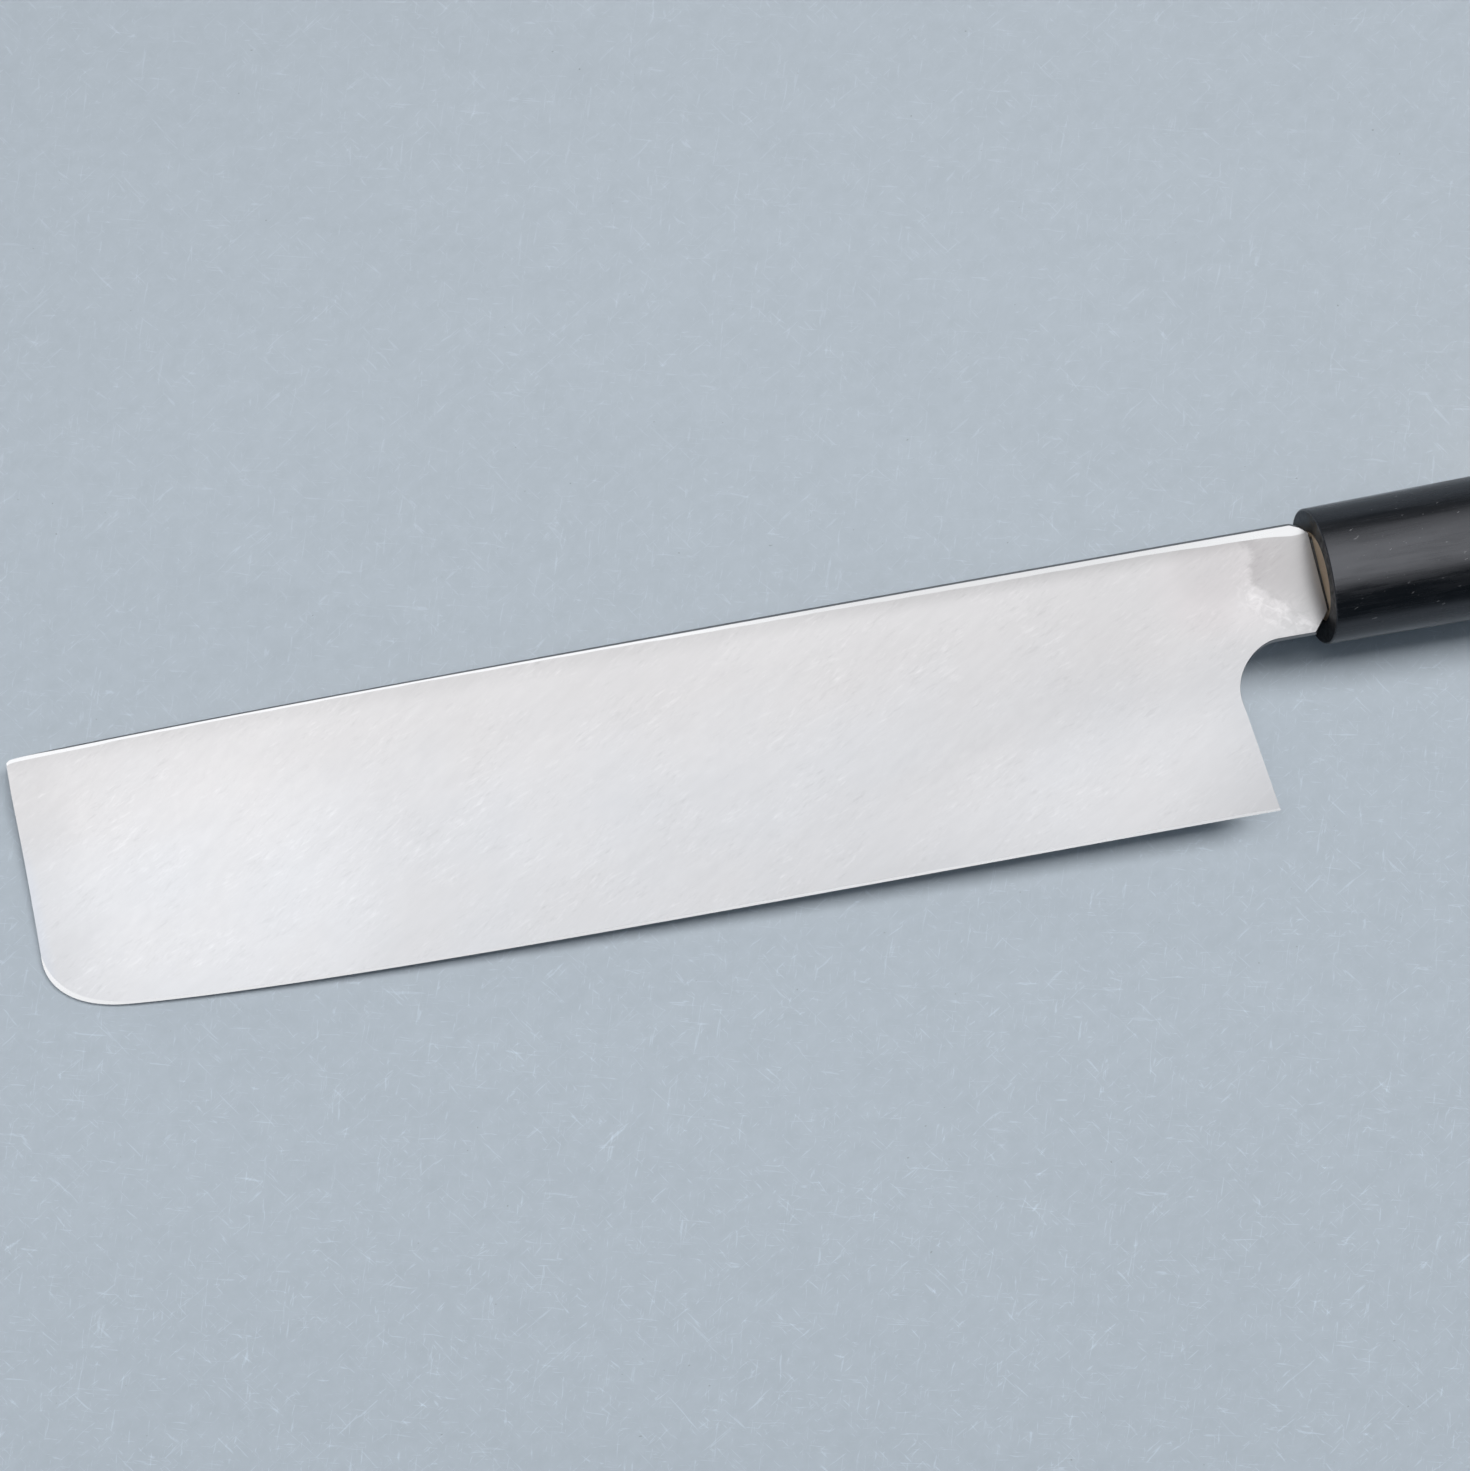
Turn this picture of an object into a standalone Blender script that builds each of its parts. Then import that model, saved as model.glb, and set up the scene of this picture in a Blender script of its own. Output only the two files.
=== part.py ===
"""Usuba: a Japanese vegetable knife with a single-bevel blade and an oval wooden handle.

The knife is modelled in its own frame and then laid down as it rests on a table.
In the knife's frame +X runs along the handle's axis from the tip to the butt, +Y points
to the spine, and +Z points out of the hollow-ground back of the blade.
X = 0 is the foremost point of the tip, Y = 0 is the handle's axis, and Z = 0 is the plane
of the narrow flats that frame the hollow.
"""
import math

import bmesh
import bpy
from mathutils import Vector
from mathutils.geometry import delaunay_2d_cdt, interpolate_bezier

MM = 0.001
GAP = 0.3 * MM                       # air left between pieces that touch

# Blade outline. A curve is a cubic Bezier: its start, two handles and its end.
SHOULDER_X = 195.5 * MM              # tip to the shoulders: the blade's nominal length
TIP_TOP = (1.05 * MM, 7.6 * MM)
TIP_BEND = (0.75 * MM, 6.1 * MM)     # above here the tip line leans back, worn at its corner
TIP_FOOT = (-0.1 * MM, -22.0 * MM)   # where the tip line starts to turn into the edge
TIP_MIDDLE_Y = -1.0 * MM
SPINE_CURVE = (
    (1.9 * MM, 8.1 * MM),
    (1.0 * MM, 9.1 * MM),
    (141.0 * MM, 8.9 * MM),
    (SHOULDER_X - 1.2 * MM, 8.35 * MM),
)
CORNER_CURVE = (
    TIP_FOOT,
    (-0.85 * MM, -27.7 * MM),
    (4.2 * MM, -31.0 * MM),
    (11.6 * MM, -31.6 * MM),
)
EDGE_CURVE = (
    CORNER_CURVE[-1],
    (45.0 * MM, -34.45 * MM),
    (125.0 * MM, -33.0 * MM),
    (186.75 * MM, -32.95 * MM),
)
EDGE_Y = -33.35 * MM                 # lowest stretch of the cutting edge
NOTCH_RADIUS = 6.67 * MM
NOTCH_CENTRE = (190.33 * MM, -14.97 * MM)
NOTCH_START_ANGLE = math.radians(190)
NECK_UNDER_Y = NOTCH_CENTRE[1] + NOTCH_RADIUS
NECK_UNDER_END = (SHOULDER_X + 0.4 * MM, NECK_UNDER_Y)
NECK_END_UNDER = (197.85 * MM, -5.05 * MM)
NECK_END_TOP = (196.7 * MM, 6.6 * MM)
SHOULDER_TOP = (SHOULDER_X + 0.2 * MM, 7.75 * MM)

# Blade thickness
TIP_THICKNESS = 1.9 * MM
NECK_THICKNESS = 3.2 * MM
EDGE_LAND = 0.1 * MM                 # blunt flat left along the cutting edge
BEVEL_WIDTH = 23.0 * MM              # from the edge to the ridge of the bevel
BEVEL_CROWN = 0.07 * MM              # how far the bevel swells between its edge and its ridge
RIDGE_Y = EDGE_Y + BEVEL_WIDTH
REST_Y = -14.5 * MM                  # upper point on which the tip's bevel rests
EASED_CORNER = 0.3 * MM              # chamfer along the spine, the neck and the notch

# Hollow of the back
HOLLOW_DEPTH = 0.35 * MM
HOLLOW_RUNOUT = 20.0 * MM            # distance from the flats at which the hollow is deepest
SPINE_FLAT_TIP = TIP_TOP[1] - TIP_BEND[1]  # width of the spine's flat, with its chamfer
SPINE_FLAT_MIDDLE = 0.7 * MM
SPINE_FLAT_NECK = 2.2 * MM
SPINE_FLAT_NARROW_X = 45.0 * MM      # the flat narrows from the tip to here
SPINE_FLAT_WIDEN_X = 130.0 * MM      # and widens from here to the hollow's end
EDGE_FLAT = 0.5 * MM
CORNER_FLAT = 1.0 * MM
HOLLOW_END_X = 188.3 * MM            # where the hollow ends on the neck
HOLLOW_END_SLANT = 2.6 * MM
HOLLOW_END_UPPER = (HOLLOW_END_X + 0.2 * MM, 1.7 * MM)
HOLLOW_END_LOWER = (HOLLOW_END_X + 0.8 * MM, -3.4 * MM)
HOLLOW_OVERRUN = 5.0 * MM            # how far the hollow's border passes the tip and the heel

# Tang, which is thinner than the neck
TANG_TOP = (197.1 * MM, 5.6 * MM)
TANG_UNDER = (198.15 * MM, -4.8 * MM)
TANG_THICKNESS = 2.4 * MM
TANG_END_X = 290.0 * MM
TANG_END_HALF_HEIGHT = 2.6 * MM
TANG_END_THICKNESS = 2.0 * MM
TANG_POINT = 6.5 * MM                # length of the blunt point at the tang's end
TANG_POINT_SHAPE = ((0.6, 0.8), (1.0, 0.3))  # shares of the point's length and half height

# Handle
FERRULE_X = 197.4 * MM
FERRULE_LENGTH = 28.0 * MM
FERRULE_LEAN = 0.03                  # slant of the ferrule's front: X lost per unit of Y
HANDLE_LENGTH = 134.0 * MM
TANG_Z = -NECK_THICKNESS / 2         # middle plane of the neck and the tang
AXIS_Z = TANG_Z - 0.8 * MM           # the handle's axis lies a little below that plane
FRONT_HALF_HEIGHT = 10.15 * MM
FRONT_HALF_THICKNESS = 7.8 * MM
BUTT_HALF_HEIGHT = 11.6 * MM
BUTT_HALF_THICKNESS = 8.9 * MM
OVAL_POWER = 2.15                    # 2 is a true ellipse, more is fuller at the shoulders
FERRULE_WALL = (3.4 * MM, 2.1 * MM)  # at the ends of the oval, and at its flatter sides
FERRULE_ROUNDING = 0.35 * MM
JOINT_ROUNDING = 0.25 * MM
BUTT_ROUNDING = 2.0 * MM
TENON_RECESS = 0.35 * MM             # how far the tenon's end lies inside the ferrule's mouth
TENON_LEAN = 0.09                    # slant of the tenon's end, cut along the neck's end
SLOT_SPARE = 3.0 * MM                # empty slot behind the tang's end
SLOT_CUT_AHEAD = 2.0 * MM            # how far the slot's cutter starts before the ferrule

# Fineness of the mesh
CURVE_STEPS = 24
CORNER_STEPS = 10
NOTCH_STEPS = 6
HEEL_STEPS = 3
BEVEL_ROWS = 4
GRID_STEP = 6.0 * MM
OVAL_SIDES = 56
ROUNDING_STEPS = 4
SMOOTH_ANGLE = math.radians(25)      # faces that turn more than this meet in a sharp edge
POINT_TOLERANCE = 1e-7


def clear_scene():
    for item in list(bpy.data.objects):
        bpy.data.objects.remove(item, do_unlink=True)


def make_material(name, colour, roughness, metallic):
    material = bpy.data.materials.new(name)
    material.use_nodes = True
    shader = material.node_tree.nodes["Principled BSDF"]
    shader.inputs["Base Color"].default_value = (*colour, 1.0)
    shader.inputs["Roughness"].default_value = roughness
    shader.inputs["Metallic"].default_value = metallic
    return material


def steel_material():
    return make_material("satin_steel", (0.76, 0.75, 0.74), 0.38, 1.0)


def horn_material():
    return make_material("black_horn", (0.012, 0.012, 0.013), 0.22, 0.0)


def wood_material():
    return make_material("pale_magnolia_wood", (0.62, 0.47, 0.30), 0.6, 0.0)


def finish_object(mesh, name, material):
    """Turns a bmesh into an object whose curved faces shade smooth."""
    data = bpy.data.meshes.new(name)
    mesh.normal_update()
    mesh.to_mesh(data)
    mesh.free()
    data.materials.append(material)
    data.shade_smooth()
    data.set_sharp_from_angle(angle=SMOOTH_ANGLE)
    item = bpy.data.objects.new(name, data)
    bpy.context.collection.objects.link(item)
    return item


def bezier(curve, steps):
    """Points of a cubic Bezier curve in the plane of the blade, both ends included."""
    points = [Vector((x, y, 0)) for x, y in curve]
    return [(p.x, p.y) for p in interpolate_bezier(*points, steps + 1)]


def smoothstep(low, high, value):
    t = min(max((value - low) / (high - low), 0.0), 1.0)
    return t * t * (3 - 2 * t)


def tip_x(y):
    """X of the straight tip line at a height: it leans forward towards the edge."""
    share = (y - TIP_FOOT[1]) / (TIP_BEND[1] - TIP_FOOT[1])
    return TIP_FOOT[0] + (TIP_BEND[0] - TIP_FOOT[0]) * share


def tip_line():
    """Tip line from the spine down to the corner, with points where the faces change."""
    straight = [(tip_x(y), y) for y in (TIP_MIDDLE_Y, RIDGE_Y, REST_Y)]
    return [TIP_TOP, TIP_BEND] + straight


def corner_line():
    """Rounded corner where the tip line turns into the edge."""
    return bezier(CORNER_CURVE, CORNER_STEPS)


def edge_line():
    """Cutting edge, almost straight from the corner to the heel."""
    return bezier(EDGE_CURVE, CURVE_STEPS)


def notch_arc(start_angle, end_angle, steps):
    points = []
    for i in range(steps + 1):
        angle = start_angle + (end_angle - start_angle) * i / steps
        x = NOTCH_CENTRE[0] + NOTCH_RADIUS * math.cos(angle)
        points.append((x, NOTCH_CENTRE[1] + NOTCH_RADIUS * math.sin(angle)))
    return points


def notch_line():
    """Round cut-out between the heel and the neck, with a point at the bevel's ridge."""
    ridge_angle = math.pi - math.asin((RIDGE_Y - NOTCH_CENTRE[1]) / NOTCH_RADIUS)
    below = notch_arc(NOTCH_START_ANGLE, ridge_angle, NOTCH_STEPS)
    above = notch_arc(ridge_angle, math.pi / 2, NOTCH_STEPS)
    return below + above[1:]


def heel_line():
    """Heel's back, from just above the heel's point to the notch."""
    heel = Vector(EDGE_CURVE[-1])
    span = Vector(notch_line()[0]) - heel
    shares = [EDGE_FLAT / span.length] + [i / HEEL_STEPS for i in range(1, HEEL_STEPS)]
    return [tuple(heel + span * share) for share in shares]


def spine_line():
    """Shallow arch from the tip's corner to the shoulder of the neck."""
    return bezier(SPINE_CURVE, CURVE_STEPS)


def neck_underside():
    """Neck's underside, with a point where the hollow ends."""
    return [(HOLLOW_END_X + HOLLOW_END_SLANT, NECK_UNDER_Y), NECK_UNDER_END]


def tang_line():
    """Tang, from its root under the neck's end round its blunt point to its root on top."""
    start_x = TANG_END_X - TANG_POINT
    point = [(start_x, TANG_END_HALF_HEIGHT)]
    for along, height in TANG_POINT_SHAPE:
        point.append((start_x + along * TANG_POINT, height * TANG_END_HALF_HEIGHT))
    under = [(x, -y) for x, y in point]
    return [TANG_UNDER] + under + point[::-1] + [TANG_TOP]


def blade_outline():
    """Whole outline, counter-clockwise from the spine, and the chamfer of each point."""
    spine = spine_line()
    ground = tip_line() + corner_line() + edge_line()[1:] + heel_line()
    outline = [(point, 0.0) for point in ground]
    outline += [(point, EASED_CORNER) for point in notch_line() + neck_underside()]
    outline += [(point, 0.0) for point in [NECK_END_UNDER] + tang_line() + [NECK_END_TOP]]
    outline += [(point, EASED_CORNER) for point in [SHOULDER_TOP] + spine[:0:-1]]
    outline.append((spine[0], 0.0))
    return outline


def inset_outline(outline):
    """Points moved inward by their chamfer; a point with no chamfer stays where it is."""
    count = len(outline)
    inset = []
    for i, (point, chamfer) in enumerate(outline):
        along = Vector(outline[(i + 1) % count][0]) - Vector(outline[i - 1][0])
        inward = Vector((-along.y, along.x)).normalized()
        inset.append(tuple(Vector(point) + inward * chamfer))
    return inset


def spine_flat_width(x):
    """Width of the flat along the spine: wider at the tip and again towards the neck."""
    at_tip = 1 - smoothstep(0, SPINE_FLAT_NARROW_X, x)
    at_neck = smoothstep(SPINE_FLAT_WIDEN_X, HOLLOW_END_X, x)
    width = SPINE_FLAT_MIDDLE + (SPINE_FLAT_TIP - SPINE_FLAT_MIDDLE) * at_tip
    return width + (SPINE_FLAT_NECK - SPINE_FLAT_MIDDLE) * at_neck


def upper_flat_line():
    """Inner border of the flat along the spine, then the hollow's uneven end on the neck."""
    along = [(x, y - spine_flat_width(x)) for x, y in spine_line() if x < HOLLOW_END_X]
    along[0] = tip_line()[1]
    on_neck = [
        (HOLLOW_END_X, SPINE_CURVE[-1][1] - SPINE_FLAT_NECK),
        HOLLOW_END_UPPER,
        HOLLOW_END_LOWER,
        (HOLLOW_END_X + HOLLOW_END_SLANT, NECK_UNDER_Y + EASED_CORNER),
    ]
    return along + on_neck


def lower_flat_line():
    """Inner border of the flat round the corner of the tip and along the edge."""
    outer = corner_line() + edge_line()[1:]
    inner = [outer[0]]
    for i in range(1, len(outer) - 1):
        along = Vector(outer[i + 1]) - Vector(outer[i - 1])
        inward = Vector((-along.y, along.x)).normalized()
        width = EDGE_FLAT
        if i < CORNER_STEPS:
            turn = i / CORNER_STEPS
            width = EDGE_FLAT * turn + CORNER_FLAT * math.sin(math.pi * turn)
        inner.append(tuple(Vector(outer[i]) + inward * width))
    return inner + heel_line()[:1]


def distance_to_line(point, line):
    """Shortest distance in the plane from a point to a chain of segments."""
    here = Vector(point)
    best = (here - Vector(line[0])).length
    for a, b in zip(line, line[1:]):
        start = Vector(a)
        span = Vector(b) - start
        share = min(max((here - start).dot(span) / span.length_squared, 0.0), 1.0)
        best = min(best, (here - start - span * share).length)
    return best


def curve_y(line, x):
    """Y of a line at X, for a line whose X grows."""
    for (x0, y0), (x1, y1) in zip(line, line[1:]):
        if x <= x1:
            return y0 + (y1 - y0) * (x - x0) / (x1 - x0)
    return line[-1][1]


def is_inside(point, polygon):
    """Even-odd test of a point against a closed polygon."""
    x, y = point
    inside = False
    for (x0, y0), (x1, y1) in zip(polygon, polygon[1:] + polygon[:1]):
        if (y0 > y) != (y1 > y) and x < x0 + (x1 - x0) * (y - y0) / (y1 - y0):
            inside = not inside
    return inside


def hollow_border(upper, lower):
    """Closed border of the hollow; it runs off the blade at the tip and at the heel."""
    heel_x = EDGE_CURVE[-1][0] + HOLLOW_OVERRUN
    at_heel = [(heel_x, lower[-1][1]), (heel_x, NECK_UNDER_Y)]
    at_tip = [(-HOLLOW_OVERRUN, upper[0][1]), (-HOLLOW_OVERRUN, lower[0][1])]
    return lower + at_heel + upper[::-1] + at_tip


def is_tang(x, y):
    """Whether a point lies beyond the slanted end of the neck."""
    share = (y - NECK_END_UNDER[1]) / (NECK_END_TOP[1] - NECK_END_UNDER[1])
    end_x = NECK_END_UNDER[0] + (NECK_END_TOP[0] - NECK_END_UNDER[0]) * share
    return x > end_x + POINT_TOLERANCE


def thickness(x):
    """Full thickness at the spine, which tapers towards the tip."""
    return TIP_THICKNESS + (NECK_THICKNESS - TIP_THICKNESS) * x / FERRULE_X


def tang_thickness(x):
    """Thickness of the tang, which tapers towards its end."""
    along = min(max((x - FERRULE_X) / (TANG_END_X - FERRULE_X), 0.0), 1.0)
    return TANG_THICKNESS + (TANG_END_THICKNESS - TANG_THICKNESS) * along


def back_z(x, y, flats, border):
    """Height of the back: the grinding wheel's hollow is deepest far from the flats."""
    if is_tang(x, y):
        return TANG_Z + tang_thickness(x) / 2
    if not is_inside((x, y), border):
        return 0.0
    near = min(distance_to_line((x, y), line) for line in flats)
    rest = 1 - min(near / HOLLOW_RUNOUT, 1.0)
    return -HOLLOW_DEPTH * (1 - rest * rest)


def front_z(x, y):
    """Height of the front: a flat at full thickness, then the bevel down to the edge."""
    if is_tang(x, y):
        return TANG_Z - tang_thickness(x) / 2
    share = min(max((y - EDGE_Y) / BEVEL_WIDTH, 0.0), 1.0)
    swell = BEVEL_CROWN * 4 * share * (1 - share)
    return -EDGE_LAND - (thickness(x) - EDGE_LAND) * share - swell


def hollow_points(upper, lower):
    """Evenly spread points inside the hollow, kept clear of its borders."""
    points = []
    last_x = NOTCH_CENTRE[0] - NOTCH_RADIUS - GRID_STEP / 2
    for i in range(1, int(last_x / GRID_STEP) + 1):
        x = i * GRID_STEP
        bottom = curve_y(lower, x)
        height = curve_y(upper, x) - bottom
        rows = round(height / GRID_STEP)
        points += [(x, bottom + height * j / rows) for j in range(1, rows)]
    return points


def bevel_points(inset):
    """Ridge of the bevel as a line, and rows of points down the bevel."""
    at_notch = Vector(notch_line()[NOTCH_STEPS])
    ridge_end = min(inset, key=lambda point: (Vector(point) - at_notch).length)
    start = Vector((tip_x(RIDGE_Y), RIDGE_Y))
    span = Vector(ridge_end) - start
    ridge = [tuple(start + span * i / CURVE_STEPS) for i in range(CURVE_STEPS + 1)]
    rows = []
    for row in range(1, BEVEL_ROWS):
        y = EDGE_Y + BEVEL_WIDTH * row / BEVEL_ROWS
        rows += [(x, y) for x, _ in ridge[1:-1]]
    return ridge, rows


def fill_region(outline, lines, loose):
    """Triangles that fill an outline, with the given lines kept as edges."""
    points = [Vector(p) for p in outline]
    edges = []
    for line in lines:
        first = len(points)
        points += [Vector(p) for p in line]
        edges += [(first + i, first + i + 1) for i in range(len(line) - 1)]
    points += [Vector(p) for p in loose]
    border = list(range(len(outline)))
    filled = delaunay_2d_cdt(points, edges, [border], 1, POINT_TOLERANCE)
    return filled[0], filled[2], filled[3]


def add_skin(mesh, region, border, height, faces_up):
    """Adds one filled side of the blade, sharing the vertices of its border."""
    points, triangles, sources = region
    vertices = []
    for point, source in zip(points, sources):
        on_border = [i for i in source if i < len(border)]
        if on_border:
            vertices.append(border[on_border[0]])
        else:
            vertices.append(mesh.verts.new((*point, height(*point))))
    for triangle in triangles:
        a, b, c = [points[i] for i in triangle]
        is_up = (b - a).cross(c - a) > 0
        corners = [vertices[i] for i in triangle]
        mesh.faces.new(corners if is_up == faces_up else corners[::-1])


def add_band(mesh, upper, lower):
    """Adds the strip between two rings, leaving out corners that the rings share."""
    count = len(upper)
    for i in range(count):
        j = (i + 1) % count
        corners = []
        for vertex in (upper[i], lower[i], lower[j], upper[j]):
            if vertex not in corners:
                corners.append(vertex)
        if len(corners) > 2:
            mesh.faces.new(corners)


def make_blade():
    """Blade, neck and tang as one forged piece, hollow on the back and bevelled in front."""
    upper = upper_flat_line()
    lower = lower_flat_line()
    border = hollow_border(upper, lower)

    def back(x, y):
        return back_z(x, y, (upper, lower), border)

    mesh = bmesh.new()
    outline = blade_outline()
    inset = inset_outline(outline)
    neck_end = [NECK_END_TOP, NECK_END_UNDER]
    tang_root = [TANG_TOP, TANG_UNDER]
    back_rim = [mesh.verts.new((*point, back(*point))) for point in inset]
    front_rim = [mesh.verts.new((*point, front_z(*point))) for point in inset]
    back_side = list(back_rim)
    front_side = list(front_rim)
    for i, (point, chamfer) in enumerate(outline):
        if chamfer:
            back_side[i] = mesh.verts.new((*point, back_rim[i].co.z - chamfer))
            front_side[i] = mesh.verts.new((*point, front_rim[i].co.z + chamfer))

    back_lines = (upper, lower, neck_end, tang_root)
    back_fill = fill_region(inset, back_lines, hollow_points(upper, lower))
    add_skin(mesh, back_fill, back_rim, back, True)
    ridge, rows = bevel_points(inset)
    front_fill = fill_region(inset, (ridge, neck_end, tang_root), rows)
    add_skin(mesh, front_fill, front_rim, front_z, False)
    add_band(mesh, back_rim, back_side)
    add_band(mesh, back_side, front_side)
    add_band(mesh, front_side, front_rim)
    return finish_object(mesh, "blade", steel_material())


def handle_size(x):
    """Half height and half thickness of the handle, which swells towards the butt."""
    share = (x - FERRULE_X) / HANDLE_LENGTH
    height = FRONT_HALF_HEIGHT + (BUTT_HALF_HEIGHT - FRONT_HALF_HEIGHT) * share
    depth = FRONT_HALF_THICKNESS + (BUTT_HALF_THICKNESS - FRONT_HALF_THICKNESS) * share
    return height, depth


def oval_ring(mesh, x, inset, lean):
    """Ring of vertices round the handle's axis, inset from its full height and thickness."""
    half_height, half_depth = [size - cut for size, cut in zip(handle_size(x), inset)]
    ring = []
    for i in range(OVAL_SIDES):
        angle = 2 * math.pi * i / OVAL_SIDES
        c = math.cos(angle)
        s = math.sin(angle)
        y = half_height * math.copysign(abs(c) ** (2 / OVAL_POWER), c)
        z = half_depth * math.copysign(abs(s) ** (2 / OVAL_POWER), s)
        ring.append(mesh.verts.new((x - lean * y, y, AXIS_Z + z)))
    return ring


def rounding(x, radius, direction, lean=0.0):
    """Stations of a quarter-round edge: direction 1 widens along X, and -1 narrows."""
    stations = []
    for i in range(ROUNDING_STEPS + 1):
        angle = math.pi / 2 * i / ROUNDING_STEPS
        cut = radius * (1 - math.sin(angle))
        stations.append((x + direction * radius * (1 - math.cos(angle)), (cut, cut), lean))
    return stations if direction > 0 else stations[::-1]


def loft(mesh, stations, closed):
    """Skins a row of oval rings; a closed row joins its last ring to its first."""
    rings = [oval_ring(mesh, x, inset, lean) for x, inset, lean in stations]
    pairs = list(zip(rings, rings[1:]))
    if closed:
        pairs.append((rings[-1], rings[0]))
    else:
        mesh.faces.new(rings[0][::-1])
        mesh.faces.new(rings[-1])
    for front, rear in pairs:
        add_band(mesh, rear, front)


def make_ferrule():
    """Oval collar with a round-edged mouth, open at both ends for the tenon."""
    rear_x = FERRULE_X + FERRULE_LENGTH
    stations = rounding(FERRULE_X, FERRULE_ROUNDING, 1, FERRULE_LEAN)
    stations += rounding(rear_x, JOINT_ROUNDING, -1)
    stations += [(rear_x, FERRULE_WALL, 0.0), (FERRULE_X, FERRULE_WALL, FERRULE_LEAN)]
    mesh = bmesh.new()
    loft(mesh, stations, True)
    return finish_object(mesh, "ferrule", horn_material())


def slot_half_height(x, root):
    """Distance from the axis of the slot's side that follows the tang from a root point."""
    point_x = TANG_END_X - TANG_POINT
    share = (x - root[0]) / (point_x - root[0])
    root_half = abs(root[1]) + GAP
    return root_half + (TANG_END_HALF_HEIGHT + GAP - root_half) * share


def make_tang_cutter():
    """Tapered block that leaves the tang's slot in the wood; it isn't part of the knife."""
    front_x = FERRULE_X - SLOT_CUT_AHEAD
    end_half = TANG_END_HALF_HEIGHT + GAP
    stations = [
        (front_x, -slot_half_height(front_x, TANG_UNDER), slot_half_height(front_x, TANG_TOP)),
        (TANG_END_X - TANG_POINT, -end_half, end_half),
        (TANG_END_X + SLOT_SPARE, -end_half, end_half),
    ]
    mesh = bmesh.new()
    rings = []
    for x, low, high in stations:
        half = tang_thickness(x) / 2 + GAP
        corners = [(low, -half), (high, -half), (high, half), (low, half)]
        rings.append([mesh.verts.new((x, y, TANG_Z + z)) for y, z in corners])
    mesh.faces.new(rings[0][::-1])
    mesh.faces.new(rings[-1])
    for front, rear in zip(rings, rings[1:]):
        add_band(mesh, rear, front)
    cutter = finish_object(mesh, "tang_cutter", steel_material())
    cutter.hide_render = True
    cutter.display_type = "WIRE"
    return cutter


def make_handle_wood(cutter):
    """Wooden handle: a tenon for the ferrule, a full body behind it and a rounded butt."""
    tenon_inset = [wall + GAP for wall in FERRULE_WALL]
    body_x = FERRULE_X + FERRULE_LENGTH + GAP
    tenon_x = FERRULE_X + TENON_RECESS
    stations = [(tenon_x, tenon_inset, TENON_LEAN), (body_x, tenon_inset, 0.0)]
    stations += rounding(body_x, JOINT_ROUNDING, 1)
    stations += rounding(FERRULE_X + HANDLE_LENGTH, BUTT_ROUNDING, -1)
    mesh = bmesh.new()
    loft(mesh, stations, False)
    wood = finish_object(mesh, "handle_wood", wood_material())
    slot = wood.modifiers.new("tang_slot", "BOOLEAN")
    slot.operation = "DIFFERENCE"
    slot.object = cutter
    return wood


def rest_roll():
    """Angle at which the two points of the tip's bevel that carry it lie level."""
    rise = front_z(*TIP_FOOT) - front_z(tip_x(REST_Y), REST_Y)
    return math.atan2(rise, REST_Y - TIP_FOOT[1])


def rest_pitch(blade, ferrule, roll):
    """Angle that brings the ferrule down to the table on which the tip rests."""
    sin_roll = math.sin(roll)
    cos_roll = math.cos(roll)

    def rolled(item):
        return [(v.co.x, v.co.y * sin_roll + v.co.z * cos_roll) for v in item.data.vertices]

    foot_x, foot_z = min(rolled(blade), key=lambda p: p[1] + p[0])
    return max(math.atan2(foot_z - z, x - foot_x) for x, z in rolled(ferrule))


def lay_down(pieces, cutter):
    """Rests the knife on the table, standing over the middle of its own box."""
    blade, ferrule = pieces[:2]
    roll = rest_roll()
    rest = bpy.data.objects.new("rest_pose", None)
    bpy.context.collection.objects.link(rest)
    rest.rotation_euler = (roll, -rest_pitch(blade, ferrule, roll), 0.0)
    for item in (*pieces, cutter):
        item.parent = rest
    bpy.context.view_layer.update()
    corners = [piece.matrix_world @ v.co for piece in pieces for v in piece.data.vertices]
    low = [min(corner[i] for corner in corners) for i in range(3)]
    high = [max(corner[i] for corner in corners) for i in range(3)]
    rest.location = (-(low[0] + high[0]) / 2, -(low[1] + high[1]) / 2, -low[2])


def main():
    clear_scene()
    blade = make_blade()
    ferrule = make_ferrule()
    cutter = make_tang_cutter()
    wood = make_handle_wood(cutter)
    lay_down((blade, ferrule, wood), cutter)


main()
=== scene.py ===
import math
from typing import NamedTuple

import bmesh
import bpy
from mathutils import Euler, Matrix, Vector
from mathutils.geometry import delaunay_2d_cdt, interpolate_bezier


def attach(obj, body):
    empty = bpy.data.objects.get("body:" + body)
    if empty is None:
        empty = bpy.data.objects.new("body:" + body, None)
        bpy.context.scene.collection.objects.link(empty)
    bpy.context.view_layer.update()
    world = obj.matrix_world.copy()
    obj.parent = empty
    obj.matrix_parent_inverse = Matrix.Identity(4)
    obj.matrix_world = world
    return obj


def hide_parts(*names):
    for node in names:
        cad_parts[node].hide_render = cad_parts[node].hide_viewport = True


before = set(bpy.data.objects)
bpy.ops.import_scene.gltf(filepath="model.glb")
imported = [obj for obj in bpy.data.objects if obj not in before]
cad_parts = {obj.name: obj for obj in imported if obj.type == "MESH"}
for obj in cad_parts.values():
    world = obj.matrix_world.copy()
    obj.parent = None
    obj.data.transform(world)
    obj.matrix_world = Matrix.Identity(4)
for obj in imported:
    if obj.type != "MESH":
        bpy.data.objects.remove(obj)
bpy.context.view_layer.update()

# The knife's own frame, as in the CAD: +X runs from the tip to the butt along the handle's
# axis, +Y points to the spine and +Z points out of the hollow back of the blade.
MM = 0.001
KNIFE_ORIGIN = (-165.7137 * MM, 10.7633 * MM, 2.6932 * MM)
REST_ROLL = math.radians(4.2655)
REST_PITCH = math.radians(2.1826)
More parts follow.
